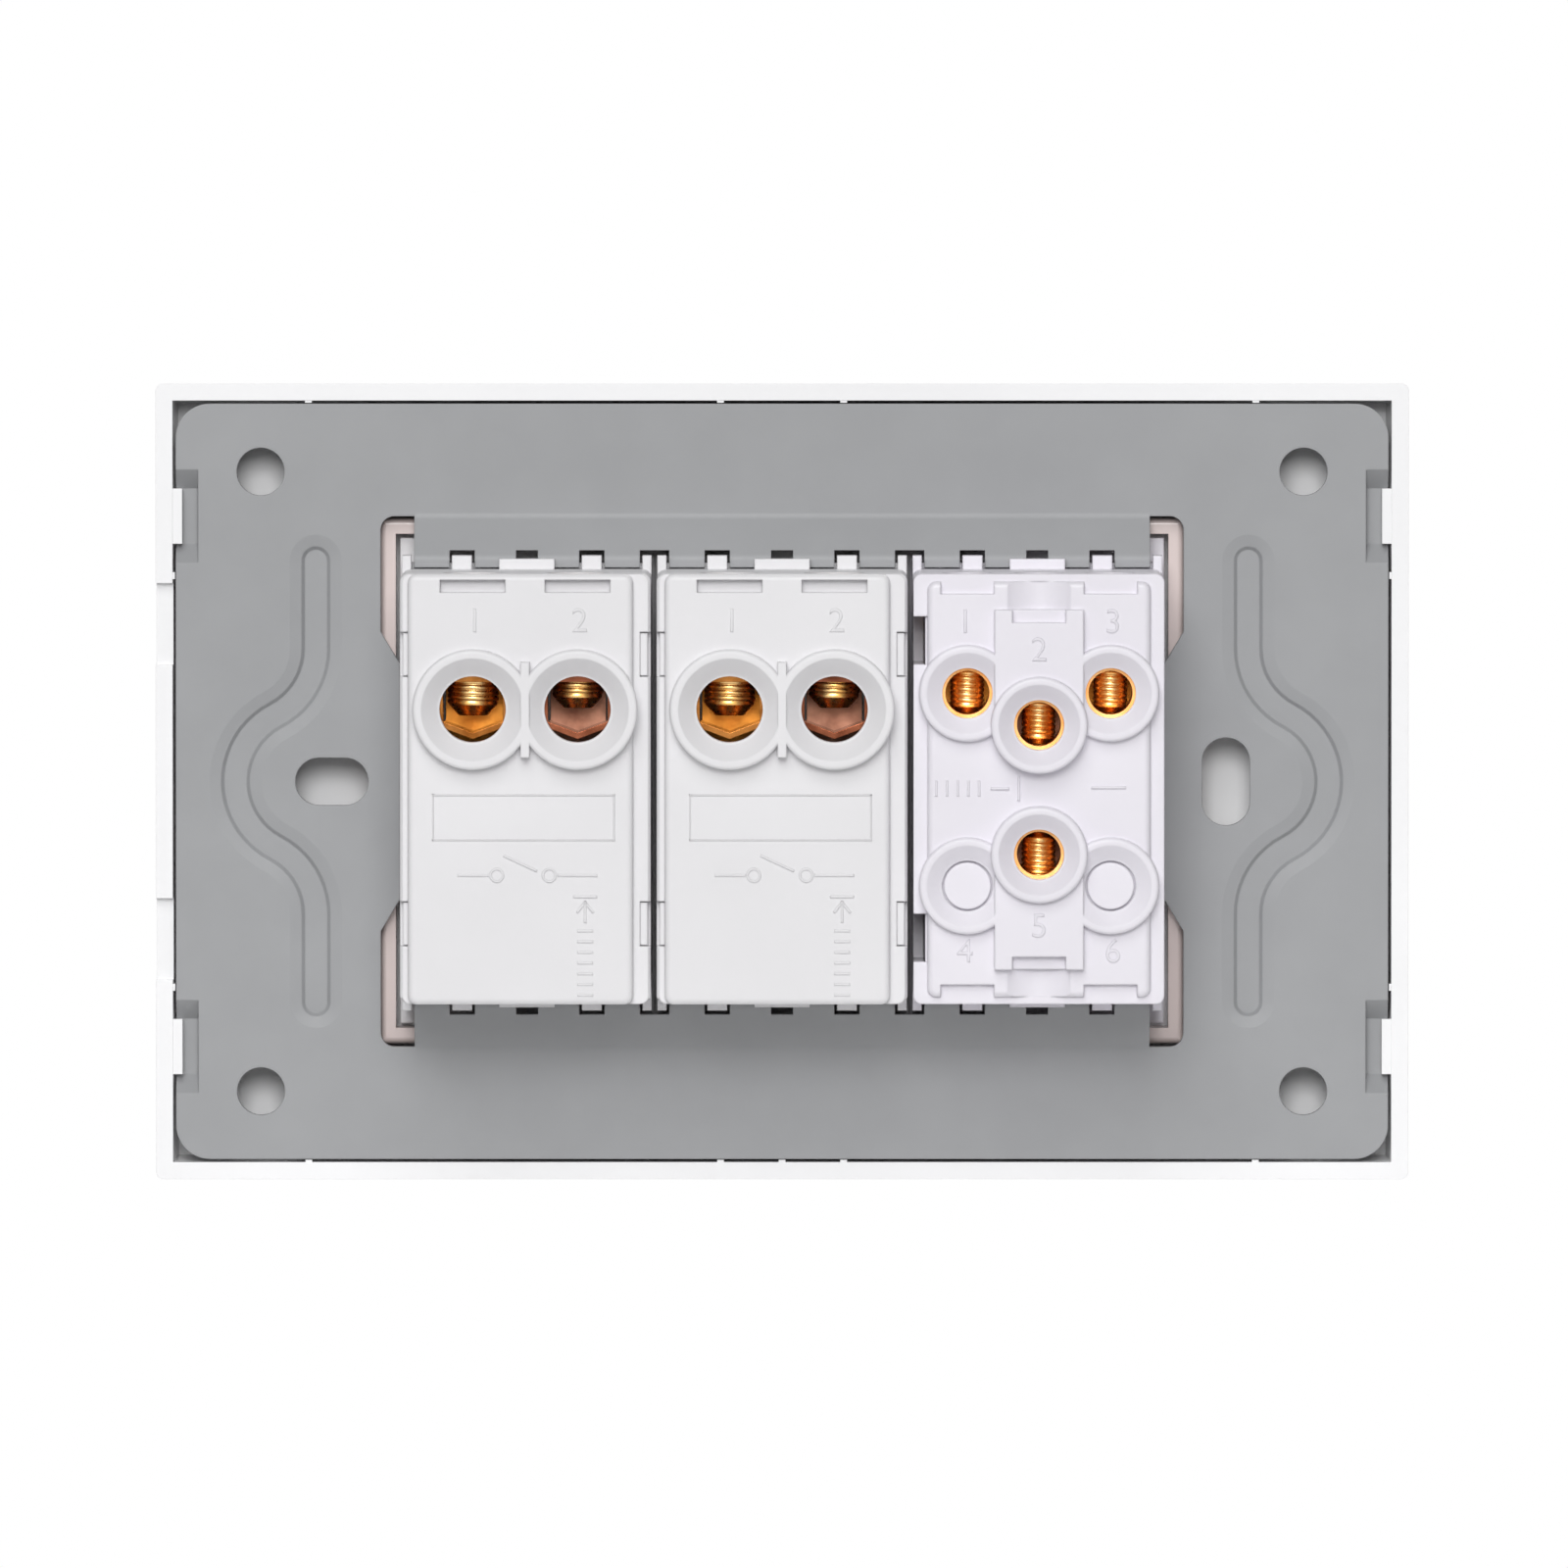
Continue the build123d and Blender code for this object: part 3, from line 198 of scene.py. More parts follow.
# Rockers: the keys on the front, which tip on pins in the module housings.
# They are moulded in the plate's white ABS and polished, so they look like one face with it.
GANGS = (1, 2, 3, 4)
key_abs = moulded(
    "polished moulded ABS key", PLATE_WHITE, rough=0.2, grain_mm=0.5, grain_depth_mm=0.008, edge_mm=0.15)[0]
dress(key_abs, *[f"rocker_{gang}" for gang in GANGS])

# Module housings and rear covers: moulded in flame-proof polycarbonate, which stays a little cloudy.
# The tool is spark-eroded, so the faces are matt, and the double module's batch is a shade cooler.
MODULE_WHITE = "E8E7E9"
DOUBLE_WHITE = "EBE8EF"
SPARK_GRAIN_MM = 0.22
module_pc = moulded(
    "matt moulded polycarbonate", MODULE_WHITE,
    rough=0.42, grain_mm=SPARK_GRAIN_MM, grain_depth_mm=0.012, edge_mm=0.22)[0]
double_pc = moulded(
    "matt moulded polycarbonate, cool white", DOUBLE_WHITE,
    rough=0.36, grain_mm=SPARK_GRAIN_MM, grain_depth_mm=0.01, edge_mm=0.25)[0]
for module, finish in (("right", module_pc), ("middle", module_pc), ("double", double_pc)):
    dress(finish, f"housing_{module}", f"cover_{module}")

# Marks on the covers: raised in the tool by less than a tenth of a millimetre, in the cover's own plastic.
# Plain numbers for the terminals, a bare frame, an open-switch sign and the arrow of a stripping gauge.
# Places are in millimetres from the middle of each module.
SINGLES = {"right": 24.0, "middle": 0.0}
DOUBLE_X = -24.0
COVER_Y = 20.6
FIELD_Y = 20.3
BLOCK_Y = 21.5
MARK_H = 0.08
MARK_LINE = 0.26
FRAME_LINE = 0.18
STEP_H = 0.00005
MERGE = 0.001
NUMBER_H = 2.3
NUMBER_EM = 1.4
SINGLE_NUMBERS = (("1", 4.7, 15.7), ("2", -5.1, 15.7))
FRAME_X = (-8.3, 8.6)
FRAME_Z = (-4.7, -0.5)
SIGN_Z = -8.0
SIGN_MIDDLE = 0.2
CONTACT_OUT = 2.45
CONTACT_R = 0.72
CONTACT_STEPS = 24
LEAD_GAP = 0.9
LEAD_ENDS = ((1, 6.2), (-1, 6.6))
BLADE = ((-1.0, -7.55), (1.9, -6.2))
GAUGE_X = -5.6
GAUGE_TOP_Z = -10.0
GAUGE_BAR = 1.0
ARROW_Z = (-10.5, -12.3)
BARB = (0.7, 0.9)
DOUBLE_NUMBERS = (("1", 6.9, FIELD_Y, 15.6), ("2", 0.0, BLOCK_Y, 13.0), ("3", -6.9, FIELD_Y, 15.6),
                  ("4", 6.9, FIELD_Y, -15.2), ("5", 0.0, BLOCK_Y, -12.8), ("6", -6.9, FIELD_Y, -15.2))
DOUBLE_LINES = (((4.4, 0.1), (2.9, 0.1)), ((1.9, -0.9), (1.9, 1.1)), ((-5.0, 0.2), (-8.0, 0.2)))


def from_behind(x, y, z):
    """Turns what is drawn flat so that it reads from behind the wall, at a place in millimetres."""
    turn = Matrix(((-1, 0, 0), (0, 0, 1), (0, 1, 0))).to_4x4()
    return Matrix.Translation(Vector((x, y, z)) * MM) @ turn


def bar(shape, start, end, y, width):
    """A raised line between two places given as X and Z.

    Each line is a hair higher than the one before, so that lines that cross share no face.
    """
    run = Vector((end[0] - start[0], 0, end[1] - start[1]))
    height = MARK_H + STEP_H * len(shape.verts)
    middle = Vector(((start[0] + end[0]) / 2, y + height / 2, (start[1] + end[1]) / 2))
    turn = Matrix.Rotation(-math.atan2(run.z, run.x), 4, "Y")
    size = Matrix.Diagonal((run.length + width, height, width, 1))
    bmesh.ops.create_cube(shape, size=1, matrix=Matrix.Translation(middle) @ turn @ size)


def ring(shape, x, y, z, radius, width):
    """A raised ring that stands for one contact of the sign."""
    turns = [2 * math.pi * i / CONTACT_STEPS for i in range(CONTACT_STEPS)]
    loops = []
    for r, height in ((radius - width, 0), (radius - width, MARK_H), (radius, MARK_H), (radius, 0)):
        loops.append([shape.verts.new((x + r * math.cos(a), y + height, z + r * math.sin(a))) for a in turns])
    for low, high in zip(loops, loops[1:] + loops[:1]):
        for i in range(CONTACT_STEPS):
            j = (i + 1) % CONTACT_STEPS
            shape.faces.new((low[i], low[j], high[j], high[i]))


def raised_number(shape, number, x, y, z):
    """A raised number, centred on its place."""
    flat = bpy.data.curves.new("number", "FONT")
    flat.body = number
    flat.size = NUMBER_H * NUMBER_EM * MM
    flat.align_x = "CENTER"
    flat.align_y = "CENTER"
    flat.extrude = MARK_H / 2 * MM
    drawn = bpy.data.objects.new("number", flat)
    bpy.context.scene.collection.objects.link(drawn)
    bpy.context.view_layer.update()
    solid = bpy.data.meshes.new_from_object(drawn.evaluated_get(bpy.context.evaluated_depsgraph_get()))
    solid.transform(from_behind(x, y + MARK_H / 2, z))
    solid.transform(Matrix.Scale(1 / MM, 4))
    shape.from_mesh(solid)
    bpy.data.objects.remove(drawn)


def mark_piece(name, shape, finish):
    """Closes a set of marks, drawn in millimetres, as one piece on the fixed body."""
    bmesh.ops.remove_doubles(shape, verts=shape.verts, dist=MERGE)
    bmesh.ops.recalc_face_normals(shape, faces=shape.faces)
    mesh = bpy.data.meshes.new(name)
    shape.to_mesh(mesh)
    shape.free()
    mesh.transform(Matrix.Scale(MM, 4))
    mesh.materials.append(finish)
    piece = bpy.data.objects.new(name, mesh)
    bpy.context.scene.collection.objects.link(piece)
    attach(piece, "chassis")


def frame_lines(shape, x, z, y, width):
    """A raised frame between two X and two Z."""
    corners = [(x[0], z[0]), (x[1], z[0]), (x[1], z[1]), (x[0], z[1])]
    for start, end in zip(corners, corners[1:] + corners[:1]):
        bar(shape, start, end, y, width)


for module, x in SINGLES.items():
    marks = bmesh.new()
    for number, out, z in SINGLE_NUMBERS:
        raised_number(marks, number, x + out, COVER_Y, z)
    frame_lines(marks, [x + edge for edge in FRAME_X], FRAME_Z, COVER_Y, FRAME_LINE)
    for side, out in LEAD_ENDS:
        contact = x + SIGN_MIDDLE + side * CONTACT_OUT
        ring(marks, contact, COVER_Y, SIGN_Z, CONTACT_R, MARK_LINE)
        bar(marks, (contact + side * LEAD_GAP, SIGN_Z), (x + side * out, SIGN_Z), COVER_Y, MARK_LINE)
    bar(marks, *[(x + out, z) for out, z in BLADE], COVER_Y, MARK_LINE)
    gauge_x = x + GAUGE_X
    stop = [(gauge_x + side * GAUGE_BAR, GAUGE_TOP_Z) for side in (1, -1)]
    bar(marks, *stop, COVER_Y, MARK_LINE)
    point, tail = [(gauge_x, z) for z in ARROW_Z]
    bar(marks, point, tail, COVER_Y, MARK_LINE)
    for side in (-1, 1):
        bar(marks, point, (point[0] + side * BARB[0], point[1] - BARB[1]), COVER_Y, MARK_LINE)
    mark_piece(f"marks_{module}", marks, module_pc)

marks = bmesh.new()
for number, out, y, z in DOUBLE_NUMBERS:
    raised_number(marks, number, DOUBLE_X + out, y, z)
for line in DOUBLE_LINES:
    bar(marks, *[(DOUBLE_X + out, z) for out, z in line], FIELD_Y, MARK_LINE)
mark_piece("marks_double", marks, double_pc)

# Stripping gauge ticks: a row of short raised lines along the gauge, one for each millimetre to strip.
# A node tree lays them on a line of points, so the step and the count stay plain inputs.
TICK = {"Step": 1.0 * MM, "Long": 1.5 * MM, "Thick": MARK_LINE * MM, "High": 2 * MARK_H * MM}
SINGLE_TICKS = 7
LAST_TICK_Z = -19.2
DOUBLE_TICKS = 5
DOUBLE_TICK_PLACE = (9.6, 0.1)


def begin_tree(name, inputs):
    """A node tree with an input for each name and kind, and those inputs by name."""
    tree = bpy.data.node_groups.new(name, "GeometryNodeTree")
    for label, kind in inputs.items():
        tree.interface.new_socket(name=label, in_out="INPUT", socket_type=f"NodeSocket{kind}")
    tree.interface.new_socket(name="Geometry", in_out="OUTPUT", socket_type="NodeSocketGeometry")
    return tree, {socket.name: socket for socket in add(tree, "NodeGroupInput").outputs}


def end_tree(tree, shape, finish):
    """Ends a node tree in plain geometry with its finish on."""
    real = add(tree, "GeometryNodeRealizeInstances", links={"Geometry": shape})
    coated = add(tree, "GeometryNodeSetMaterial",
                 links={"Geometry": real.outputs["Geometry"], "Material": finish})
    add(tree, "NodeGroupOutput", links={"Geometry": coated.outputs["Geometry"]})


def grown(name, tree, values, place):
    """Runs a node tree on an empty mesh, and returns the result as a plain mesh at its place."""
    holder = bpy.data.objects.new(name, bpy.data.meshes.new(name))
    bpy.context.scene.collection.objects.link(holder)
    maker = holder.modifiers.new(name, "NODES")
    maker.node_group = tree
    for item in tree.interface.items_tree:
        if item.in_out == "INPUT" and item.name in values:
            maker[item.identifier] = values[item.name]
    bpy.context.view_layer.update()
    mesh = bpy.data.meshes.new_from_object(holder.evaluated_get(bpy.context.evaluated_depsgraph_get()))
    bpy.data.objects.remove(holder)
    mesh.transform(place)
    piece = bpy.data.objects.new(name, mesh)
    bpy.context.scene.collection.objects.link(piece)
    return piece


ticks, asked = begin_tree(
    "gauge ticks", {"Count": "Int"} | dict.fromkeys(TICK, "Float") | {"Plastic": "Material"})
step = add(ticks, "ShaderNodeCombineXYZ", links={"Y": asked["Step"]})
row = add(ticks, "GeometryNodeMeshLine", links={"Count": asked["Count"], "Offset": step.outputs["Vector"]})
size = add(ticks, "ShaderNodeCombineXYZ", links={"X": asked["Long"], "Y": asked["Thick"], "Z": asked["High"]})
tick = add(ticks, "GeometryNodeMeshCube", links={"Size": size.outputs["Vector"]})
laid = add(ticks, "GeometryNodeInstanceOnPoints",
           links={"Points": row.outputs["Mesh"], "Instance": tick.outputs["Mesh"]})
end_tree(ticks, laid.outputs["Instances"], asked["Plastic"])

gauges = [(f"gauge_{module}", module_pc, "module_plastic", SINGLE_TICKS,
           from_behind(x + GAUGE_X, COVER_Y, LAST_TICK_Z)) for module, x in SINGLES.items()]
quarter_turn = Matrix.Rotation(math.radians(-90), 4, "Z")
gauges.append(("gauge_double", double_pc, "double_plastic", DOUBLE_TICKS,
               from_behind(DOUBLE_X + DOUBLE_TICK_PLACE[0], FIELD_Y, DOUBLE_TICK_PLACE[1]) @ quarter_turn))
for name, finish, slot, count, place in gauges:
    piece = grown(name, ticks, TICK | {"Plastic": finish, "Count": count}, place)
    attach(piece, "chassis")

# Terminals: cut from drawn brass bar and left bare, so faint draw lines run along the wire's way.
# The double's barrels are bright. The single load cages take a darker copy of the same brass, painted shade
# for their deep wire entries, and their common cages a darker copper-brown, partly their own tint and partly
# painted shade.
DOUBLE_GANGS = (1, 2)
BARREL_BRASS = ("F2B676", "DE9450")
# Painted shade: the cages' tones are darker than the barrels' brass, for the shade deep in the wire entries.
CAGE_BRASS_SHADED = ("B0743A", "7E4618")
CAGE_BROWN_SHADED = ("94583F", "623422")
DRAW_LINE_MM = 0.12
DRAWN_OUT = 0.04
LINE_DEPTH_MM = 0.01
LINE_ROUGH = (-0.05, 0.08)
LINE_STRENGTH = 0.25
STAIN_MM = 2.2
STAIN_BAND = (0.32, 0.62)
METAL_EDGE_MM = 0.1


def drawn_metal(name, tones, rough, line_mm):
    """A bare drawn or turned metal: bright, with lines along Y and stains where fingers touched it.

    Real lines are a few hundredths of a millimetre apart, too fine to show, so line_mm draws them coarser.
    """
    finish, tree, surface, place = new_finish(name)
    surface.inputs["Metallic"].default_value = 1.0
    stain = add(tree, "ShaderNodeTexNoise", values={"Scale": 1 / (STAIN_MM * MM), "Detail": 3.0},
                links={"Vector": place})
    ramp = add(tree, "ShaderNodeValToRGB", links={"Fac": stain.outputs["Fac"]})
    bright, stained = tones
    for stop, position, tone in zip(ramp.color_ramp.elements, STAIN_BAND, (stained, bright)):
        stop.position = position
        stop.color = tint(tone)
    tree.links.new(ramp.outputs["Color"], surface.inputs["Base Color"])
    along = add(tree, "ShaderNodeMapping", values={"Scale": (1, DRAWN_OUT, 1)}, links={"Vector": place})
    lines = add(tree, "ShaderNodeTexNoise", values={"Scale": 1 / (line_mm * MM), "Detail": 2.0},
                links={"Vector": along.outputs["Vector"]})
    spread = add(tree, "ShaderNodeMapRange",
                 values={"To Min": rough + LINE_ROUGH[0], "To Max": rough + LINE_ROUGH[1]},
                 links={"Value": lines.outputs["Fac"]})
    tree.links.new(spread.outputs["Result"], surface.inputs["Roughness"])
    edge = add(tree, "ShaderNodeBevel", {"samples": EDGE_SAMPLES}, {"Radius": METAL_EDGE_MM * MM})
    scored = add(tree, "ShaderNodeBump", values={"Strength": LINE_STRENGTH, "Distance": LINE_DEPTH_MM * MM},
                 links={"Height": lines.outputs["Fac"], "Normal": edge.outputs["Normal"]})
    tree.links.new(scored.outputs["Normal"], surface.inputs["Normal"])
    return finish


barrel_brass = drawn_metal("drawn brass", BARREL_BRASS, rough=0.34, line_mm=DRAW_LINE_MM)
shaded_cage_brass = drawn_metal("drawn brass, painted darker for shade", CAGE_BRASS_SHADED, rough=0.16, line_mm=DRAW_LINE_MM)
shaded_brown_brass = drawn_metal("drawn brass, copper-brown with painted shade", CAGE_BROWN_SHADED, rough=0.16, line_mm=DRAW_LINE_MM)
for gang in GANGS:
    dress(barrel_brass if gang in DOUBLE_GANGS else shaded_cage_brass, f"terminal_load_{gang}")
    dress(barrel_brass if gang in DOUBLE_GANGS else shaded_brown_brass, f"terminal_common_{gang}")

# Clamp screws: turned and rolled brass with a slotted cheese head. The rolled thread is a helical ridge
# on a thinner core, grown by a node tree, and its crest keeps the clearance of the plain CAD screw.
SCREW_BRASS = ("FFD795", "F6BA66")
ROLL_LINE_MM = 0.2
rolled_brass = drawn_metal("rolled brass thread", SCREW_BRASS, rough=0.27, line_mm=ROLL_LINE_MM)
THREAD = {"Pitch": 0.5, "Depth": 0.14, "Ridge": 0.3, "Slot Width": 0.8, "Slot Depth": 0.8}
SINGLE_SCREW = THREAD | {"Radius": 2.4, "Length": 7.6, "Tip": 1.0, "Taper": 0.9,
                         "Head Radius": 2.6, "Head Height": 1.8}
DOUBLE_SCREW = THREAD | {"Radius": 1.6, "Length": 6.4, "Tip": 0.5, "Taper": 0.4,
                         "Head Radius": 2.1, "Head Height": 1.5}
TURNED_STEPS = 64
TURN_STEPS = 40
CREST_STEPS = 24
SAW_SPARE = 1.2

thread, size = begin_tree("slotted screw", dict.fromkeys(SINGLE_SCREW, "Float") | {"Metal": "Material"})
for label, operation, one, other in (
        ("Core", "SUBTRACT", "Radius", "Depth"), ("Nose", "SUBTRACT", "Core", "Taper"),
        ("Wound", "SUBTRACT", "Radius", "Ridge"), ("Wound Nose", "SUBTRACT", "Wound", "Taper"),
        ("Shank", "SUBTRACT", "Length", "Tip"), ("Threaded", "SUBTRACT", "Shank", "Pitch"),
        ("Turns", "DIVIDE", "Threaded", "Pitch"), ("Tip Turns", "DIVIDE", "Tip", "Pitch"),
        ("First Turn", "ADD", "Tip", "Ridge"), ("Top", "ADD", "Length", "Head Height"),
        ("Across", "ADD", "Head Radius", "Head Radius"), ("Cut", "ADD", "Slot Depth", "Slot Depth")):
    total = add(thread, "ShaderNodeMath", {"operation": operation}, links={0: size[one], 1: size[other]})
    size[label] = total.outputs["Value"]

turned = []
for low, high, depth, base in (("Nose", "Core", "Tip", None), ("Core", "Core", "Shank", "Tip"),
                               ("Head Radius", "Head Radius", "Head Height", "Length")):
    cone = add(thread, "GeometryNodeMeshCone", values={"Vertices": TURNED_STEPS},
               links={"Radius Bottom": size[low], "Radius Top": size[high], "Depth": size[depth]})
    lift = add(thread, "ShaderNodeCombineXYZ", links={"Z": size[base]} if base else None)
    stood = add(thread, "GeometryNodeTransform",
                links={"Geometry": cone.outputs["Mesh"], "Translation": lift.outputs["Vector"]})
    turned.append(stood.outputs["Geometry"])
blank = add(thread, "GeometryNodeMeshBoolean", {"operation": "UNION"})
for stretch in turned:
    thread.links.new(stretch, blank.inputs["Mesh 2"])
saw = add(thread, "ShaderNodeCombineXYZ",
          links={"X": size["Across"], "Y": size["Slot Width"], "Z": size["Cut"]})
blade = add(thread, "GeometryNodeMeshCube", links={"Size": saw.outputs["Vector"]})
lift = add(thread, "ShaderNodeCombineXYZ", links={"Z": size["Top"]})
cut = add(thread, "GeometryNodeTransform", values={"Scale": (SAW_SPARE, 1, 1)},
          links={"Geometry": blade.outputs["Mesh"], "Translation": lift.outputs["Vector"]})
slotted = add(thread, "GeometryNodeMeshBoolean", {"operation": "DIFFERENCE"},
              links={"Mesh 1": blank.outputs["Mesh"], "Mesh 2": cut.outputs["Geometry"]})
whole = add(thread, "GeometryNodeJoinGeometry", links={"Geometry": slotted.outputs["Mesh"]})
for low, high, turns, height, base in (("Wound Nose", "Wound", "Tip Turns", "Tip", "Ridge"),
                                       ("Wound", "Wound", "Turns", "Threaded", "First Turn")):
    helix = add(thread, "GeometryNodeCurveSpiral", values={"Resolution": TURN_STEPS},
                links={"Rotations": size[turns], "Start Radius": size[low], "End Radius": size[high],
                       "Height": size[height]})
    steady = add(thread, "GeometryNodeSetCurveNormal", {"mode": "Z_UP"},
                 links={"Curve": helix.outputs["Curve"]})
    crest = add(thread, "GeometryNodeCurvePrimitiveCircle", values={"Resolution": CREST_STEPS},
                links={"Radius": size["Ridge"]})
    wound = add(thread, "GeometryNodeCurveToMesh", values={"Fill Caps": True},
                links={"Curve": steady.outputs["Curve"], "Profile Curve": crest.outputs["Curve"]})
    lift = add(thread, "ShaderNodeCombineXYZ", links={"Z": size[base]})
    ridge = add(thread, "GeometryNodeTransform",
                links={"Geometry": wound.outputs["Mesh"], "Translation": lift.outputs["Vector"]})
    thread.links.new(ridge.outputs["Geometry"], whole.inputs["Geometry"])
end_tree(thread, whole.outputs["Geometry"], size["Metal"])

for gang in GANGS:
    screw = DOUBLE_SCREW if gang in DOUBLE_GANGS else SINGLE_SCREW
    for use in ("common", "load"):
        low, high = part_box(f"screw_{use}_{gang}")
        middle = (low + high) / 2
        from_below = middle.z < 0
        tip = Vector((middle.x, middle.y, high.z if from_below else low.z))
        turn = Matrix.Rotation(math.pi if from_below else 0, 4, "Y")
        values = {label: value * MM for label, value in screw.items()} | {"Metal": rolled_brass}
        piece = grown(f"threaded_screw_{use}_{gang}", thread, values, Matrix.Translation(tip) @ turn)
        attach(piece, f"screw_body_{use}_{gang}")
        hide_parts(f"screw_{use}_{gang}")

# Switch works inside the housings: stamped strips and arms in dull copper alloy and brass, bright silver
# rivets for contacts, and smooth plungers in cream acetal. Little of them shows, mostly the strips at the
# bottom of the wire entries.
ARM_COPPER = ("8A6553", "664739")
STRIP_BRASS = ("B57B34", "8A5620")
RIVET_SILVER = ("D9D9D6", "B9B9B4")
PLUNGER_CREAM = "E4DFD2"
STAMP_LINE_MM = 0.2
stamped_copper = drawn_metal("stamped copper alloy", ARM_COPPER, rough=0.36, line_mm=STAMP_LINE_MM)
stamped_brass = drawn_metal("stamped brass strip", STRIP_BRASS, rough=0.34, line_mm=STAMP_LINE_MM)
silver_rivet = drawn_metal("silver alloy rivet", RIVET_SILVER, rough=0.3, line_mm=STAMP_LINE_MM)
acetal = moulded(
    "moulded acetal", PLUNGER_CREAM, rough=0.35, grain_mm=0.3, grain_depth_mm=0.008, edge_mm=0.1)[0]
for gang in GANGS:
    dress(stamped_copper, f"contact_arm_{gang}", f"common_strip_{gang}")
    dress(stamped_brass, f"fixed_strip_{gang}")
    dress(silver_rivet, f"moving_contact_{gang}", f"fixed_contact_{gang}")
    dress(acetal, f"plunger_{gang}")

# Springs in the rockers' stems: coiled from drawn steel wire, bright and hard. Each one is wound by a node
# tree in the CAD spring's place.
SPRING = {"Turns": 5.0, "Coil Radius": 1.3 * MM, "Wire Radius": 0.2 * MM, "Height": 3.5 * MM}
FOOT_FROM_PIVOT = 4.75 * MM
COIL_STEPS = 32
WIRE_STEPS = 12
WIRE_STEEL = ("B8B8B6", "8E8E8C")
WIRE_LINE_MM = 0.1
spring_wire = drawn_metal("drawn spring steel", WIRE_STEEL, rough=0.28, line_mm=WIRE_LINE_MM)

coil, asked = begin_tree("coil spring", dict.fromkeys(SPRING, "Float") | {"Metal": "Material"})
helix = add(coil, "GeometryNodeCurveSpiral", values={"Resolution": COIL_STEPS},
            links={"Rotations": asked["Turns"], "Start Radius": asked["Coil Radius"],
                   "End Radius": asked["Coil Radius"], "Height": asked["Height"]})
steady = add(coil, "GeometryNodeSetCurveNormal", {"mode": "Z_UP"}, links={"Curve": helix.outputs["Curve"]})
wire = add(coil, "GeometryNodeCurvePrimitiveCircle", values={"Resolution": WIRE_STEPS},
           links={"Radius": asked["Wire Radius"]})
wound = add(coil, "GeometryNodeCurveToMesh", values={"Fill Caps": True},
            links={"Curve": steady.outputs["Curve"], "Profile Curve": wire.outputs["Curve"]})
end_tree(coil, wound.outputs["Mesh"], asked["Metal"])

joints = {joint["name"]: joint for joint in frame["joints"]}
for gang in GANGS:
    inward = Vector(joints[f"plunger_slide_{gang}"]["axis"])
    pivot = Vector(joints[f"rocker_tilt_{gang}"]["pos_m"])
    turn = (-inward).to_track_quat("Z", "Y").to_matrix().to_4x4()
    place = Matrix.Translation(pivot + inward * FOOT_FROM_PIVOT) @ turn
    piece = grown(f"wound_spring_{gang}", coil, SPRING | {"Metal": spring_wire}, place)
    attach(piece, f"rocker_body_{gang}")
    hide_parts(f"spring_{gang}")
    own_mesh(piece)

# Studio: a floor of matt white paper below the hanging switch, a white surround that the camera and the
# metal see, a soft lamp above the viewer, a nearer one high above and one for the rocker side.
FLOOR_Z = -0.096
FLOOR_R = 0.25
FLOOR_SIDES = 96
PAPER_WHITE = "F2F2F2"
PAPER_ROUGH = 0.9
SURROUND_WHITE = "FFFFFF"
AMBIENT = 0.16
LAMPS = {
    "lamp above the viewer": {"place": (0.1, 2.88, 0.83), "wide": 1.4, "tall": 1.0, "watts": 39.0},
    "lamp high above": {"place": (0.15, 1.0, 0.85), "wide": 0.8, "tall": 0.8, "watts": 5.6},
    "lamp on the rocker side": {"place": (-0.4, -1.0, 0.8), "wide": 0.8, "tall": 0.8, "watts": 12.0},
}

floor_shape = bmesh.new()
bmesh.ops.create_circle(floor_shape, cap_ends=True, segments=FLOOR_SIDES, radius=FLOOR_R)
floor_mesh = bpy.data.meshes.new("floor")
floor_shape.to_mesh(floor_mesh)
floor_shape.free()
floor_mesh.transform(Matrix.Translation((0, 0, FLOOR_Z)))
paper, _, surface, _ = new_finish("matt white paper")
surface.inputs["Base Color"].default_value = tint(PAPER_WHITE)
surface.inputs["Roughness"].default_value = PAPER_ROUGH
floor_mesh.materials.append(paper)
floor = bpy.data.objects.new("floor", floor_mesh)
bpy.context.scene.collection.objects.link(floor)

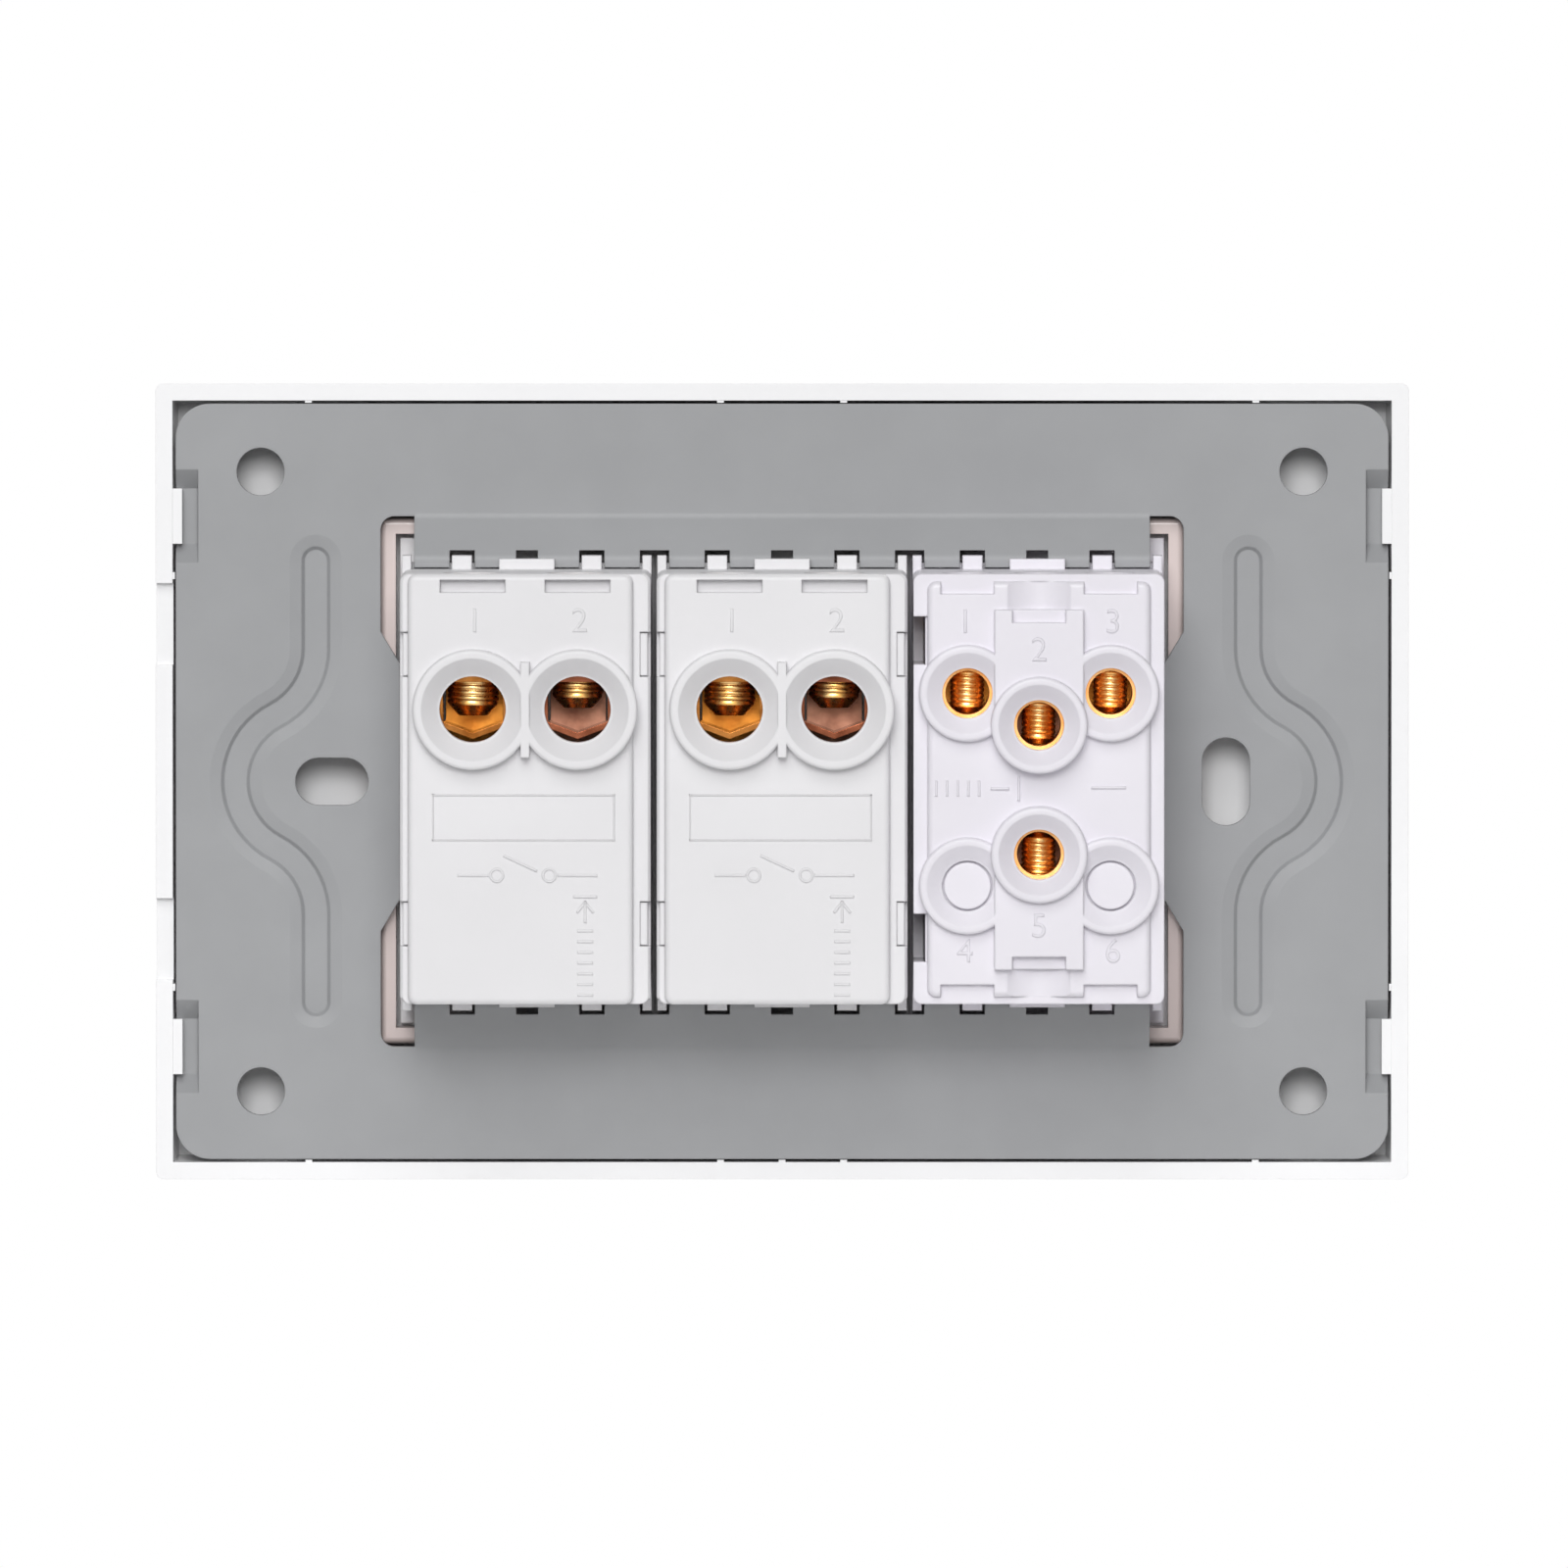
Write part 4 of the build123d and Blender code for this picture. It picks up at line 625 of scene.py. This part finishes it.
world = bpy.data.worlds.new("white surround")
bpy.context.scene.world = world
world.use_nodes = True
sky = world.node_tree
sky.nodes.clear()
path = add(sky, "ShaderNodeLightPath").outputs
seen = add(sky, "ShaderNodeMath", {"operation": "MAXIMUM"},
           links={0: path["Is Camera Ray"], 1: path["Is Glossy Ray"]})
bare = add(sky, "ShaderNodeMath", {"operation": "MAXIMUM"},
           links={0: seen.outputs["Value"], 1: path["Is Transmission Ray"]})
strength = add(sky, "ShaderNodeMapRange", values={"To Min": AMBIENT, "To Max": 1.0},
               links={"Value": bare.outputs["Value"]})
light = add(sky, "ShaderNodeBackground", values={"Color": tint(SURROUND_WHITE)},
            links={"Strength": strength.outputs["Result"]})
add(sky, "ShaderNodeOutputWorld", links={"Surface": light.outputs["Background"]})


def soft_lamp(name, place, wide, tall, watts):
    """A soft lamp, round or oval, that faces the switch."""
    lamp = bpy.data.lights.new(name, "AREA")
    lamp.shape = "ELLIPSE"
    lamp.size = wide
    lamp.size_y = tall
    lamp.energy = watts
    hung = bpy.data.objects.new(name, lamp)
    bpy.context.scene.collection.objects.link(hung)
    hung.location = place
    hung.rotation_euler = (-Vector(place)).to_track_quat("-Z", "Y").to_euler()


for name, lamp in LAMPS.items():
    soft_lamp(name, **lamp)

# Camera: behind the switch, a hand's width above its middle, far away and with a long lens,
# as in a catalogue.
VIEW_WIDTH = 0.1477
DISTANCE = 2.4
RAISED_DEG = 2.1
SENSOR_MM = 36
AIM = Vector((-0.00018, 0.0, -0.00023))
lens = bpy.data.cameras.new("long lens")
lens.sensor_width = SENSOR_MM
lens.lens = SENSOR_MM * DISTANCE / VIEW_WIDTH
camera = bpy.data.objects.new("camera", lens)
bpy.context.scene.collection.objects.link(camera)
back = Vector((0, math.cos(math.radians(RAISED_DEG)), math.sin(math.radians(RAISED_DEG))))
camera.location = AIM + DISTANCE * back
camera.rotation_euler = (-back).to_track_quat("-Z", "Y").to_euler()
bpy.context.scene.camera = camera
bpy.context.scene.view_settings.view_transform = "Standard"
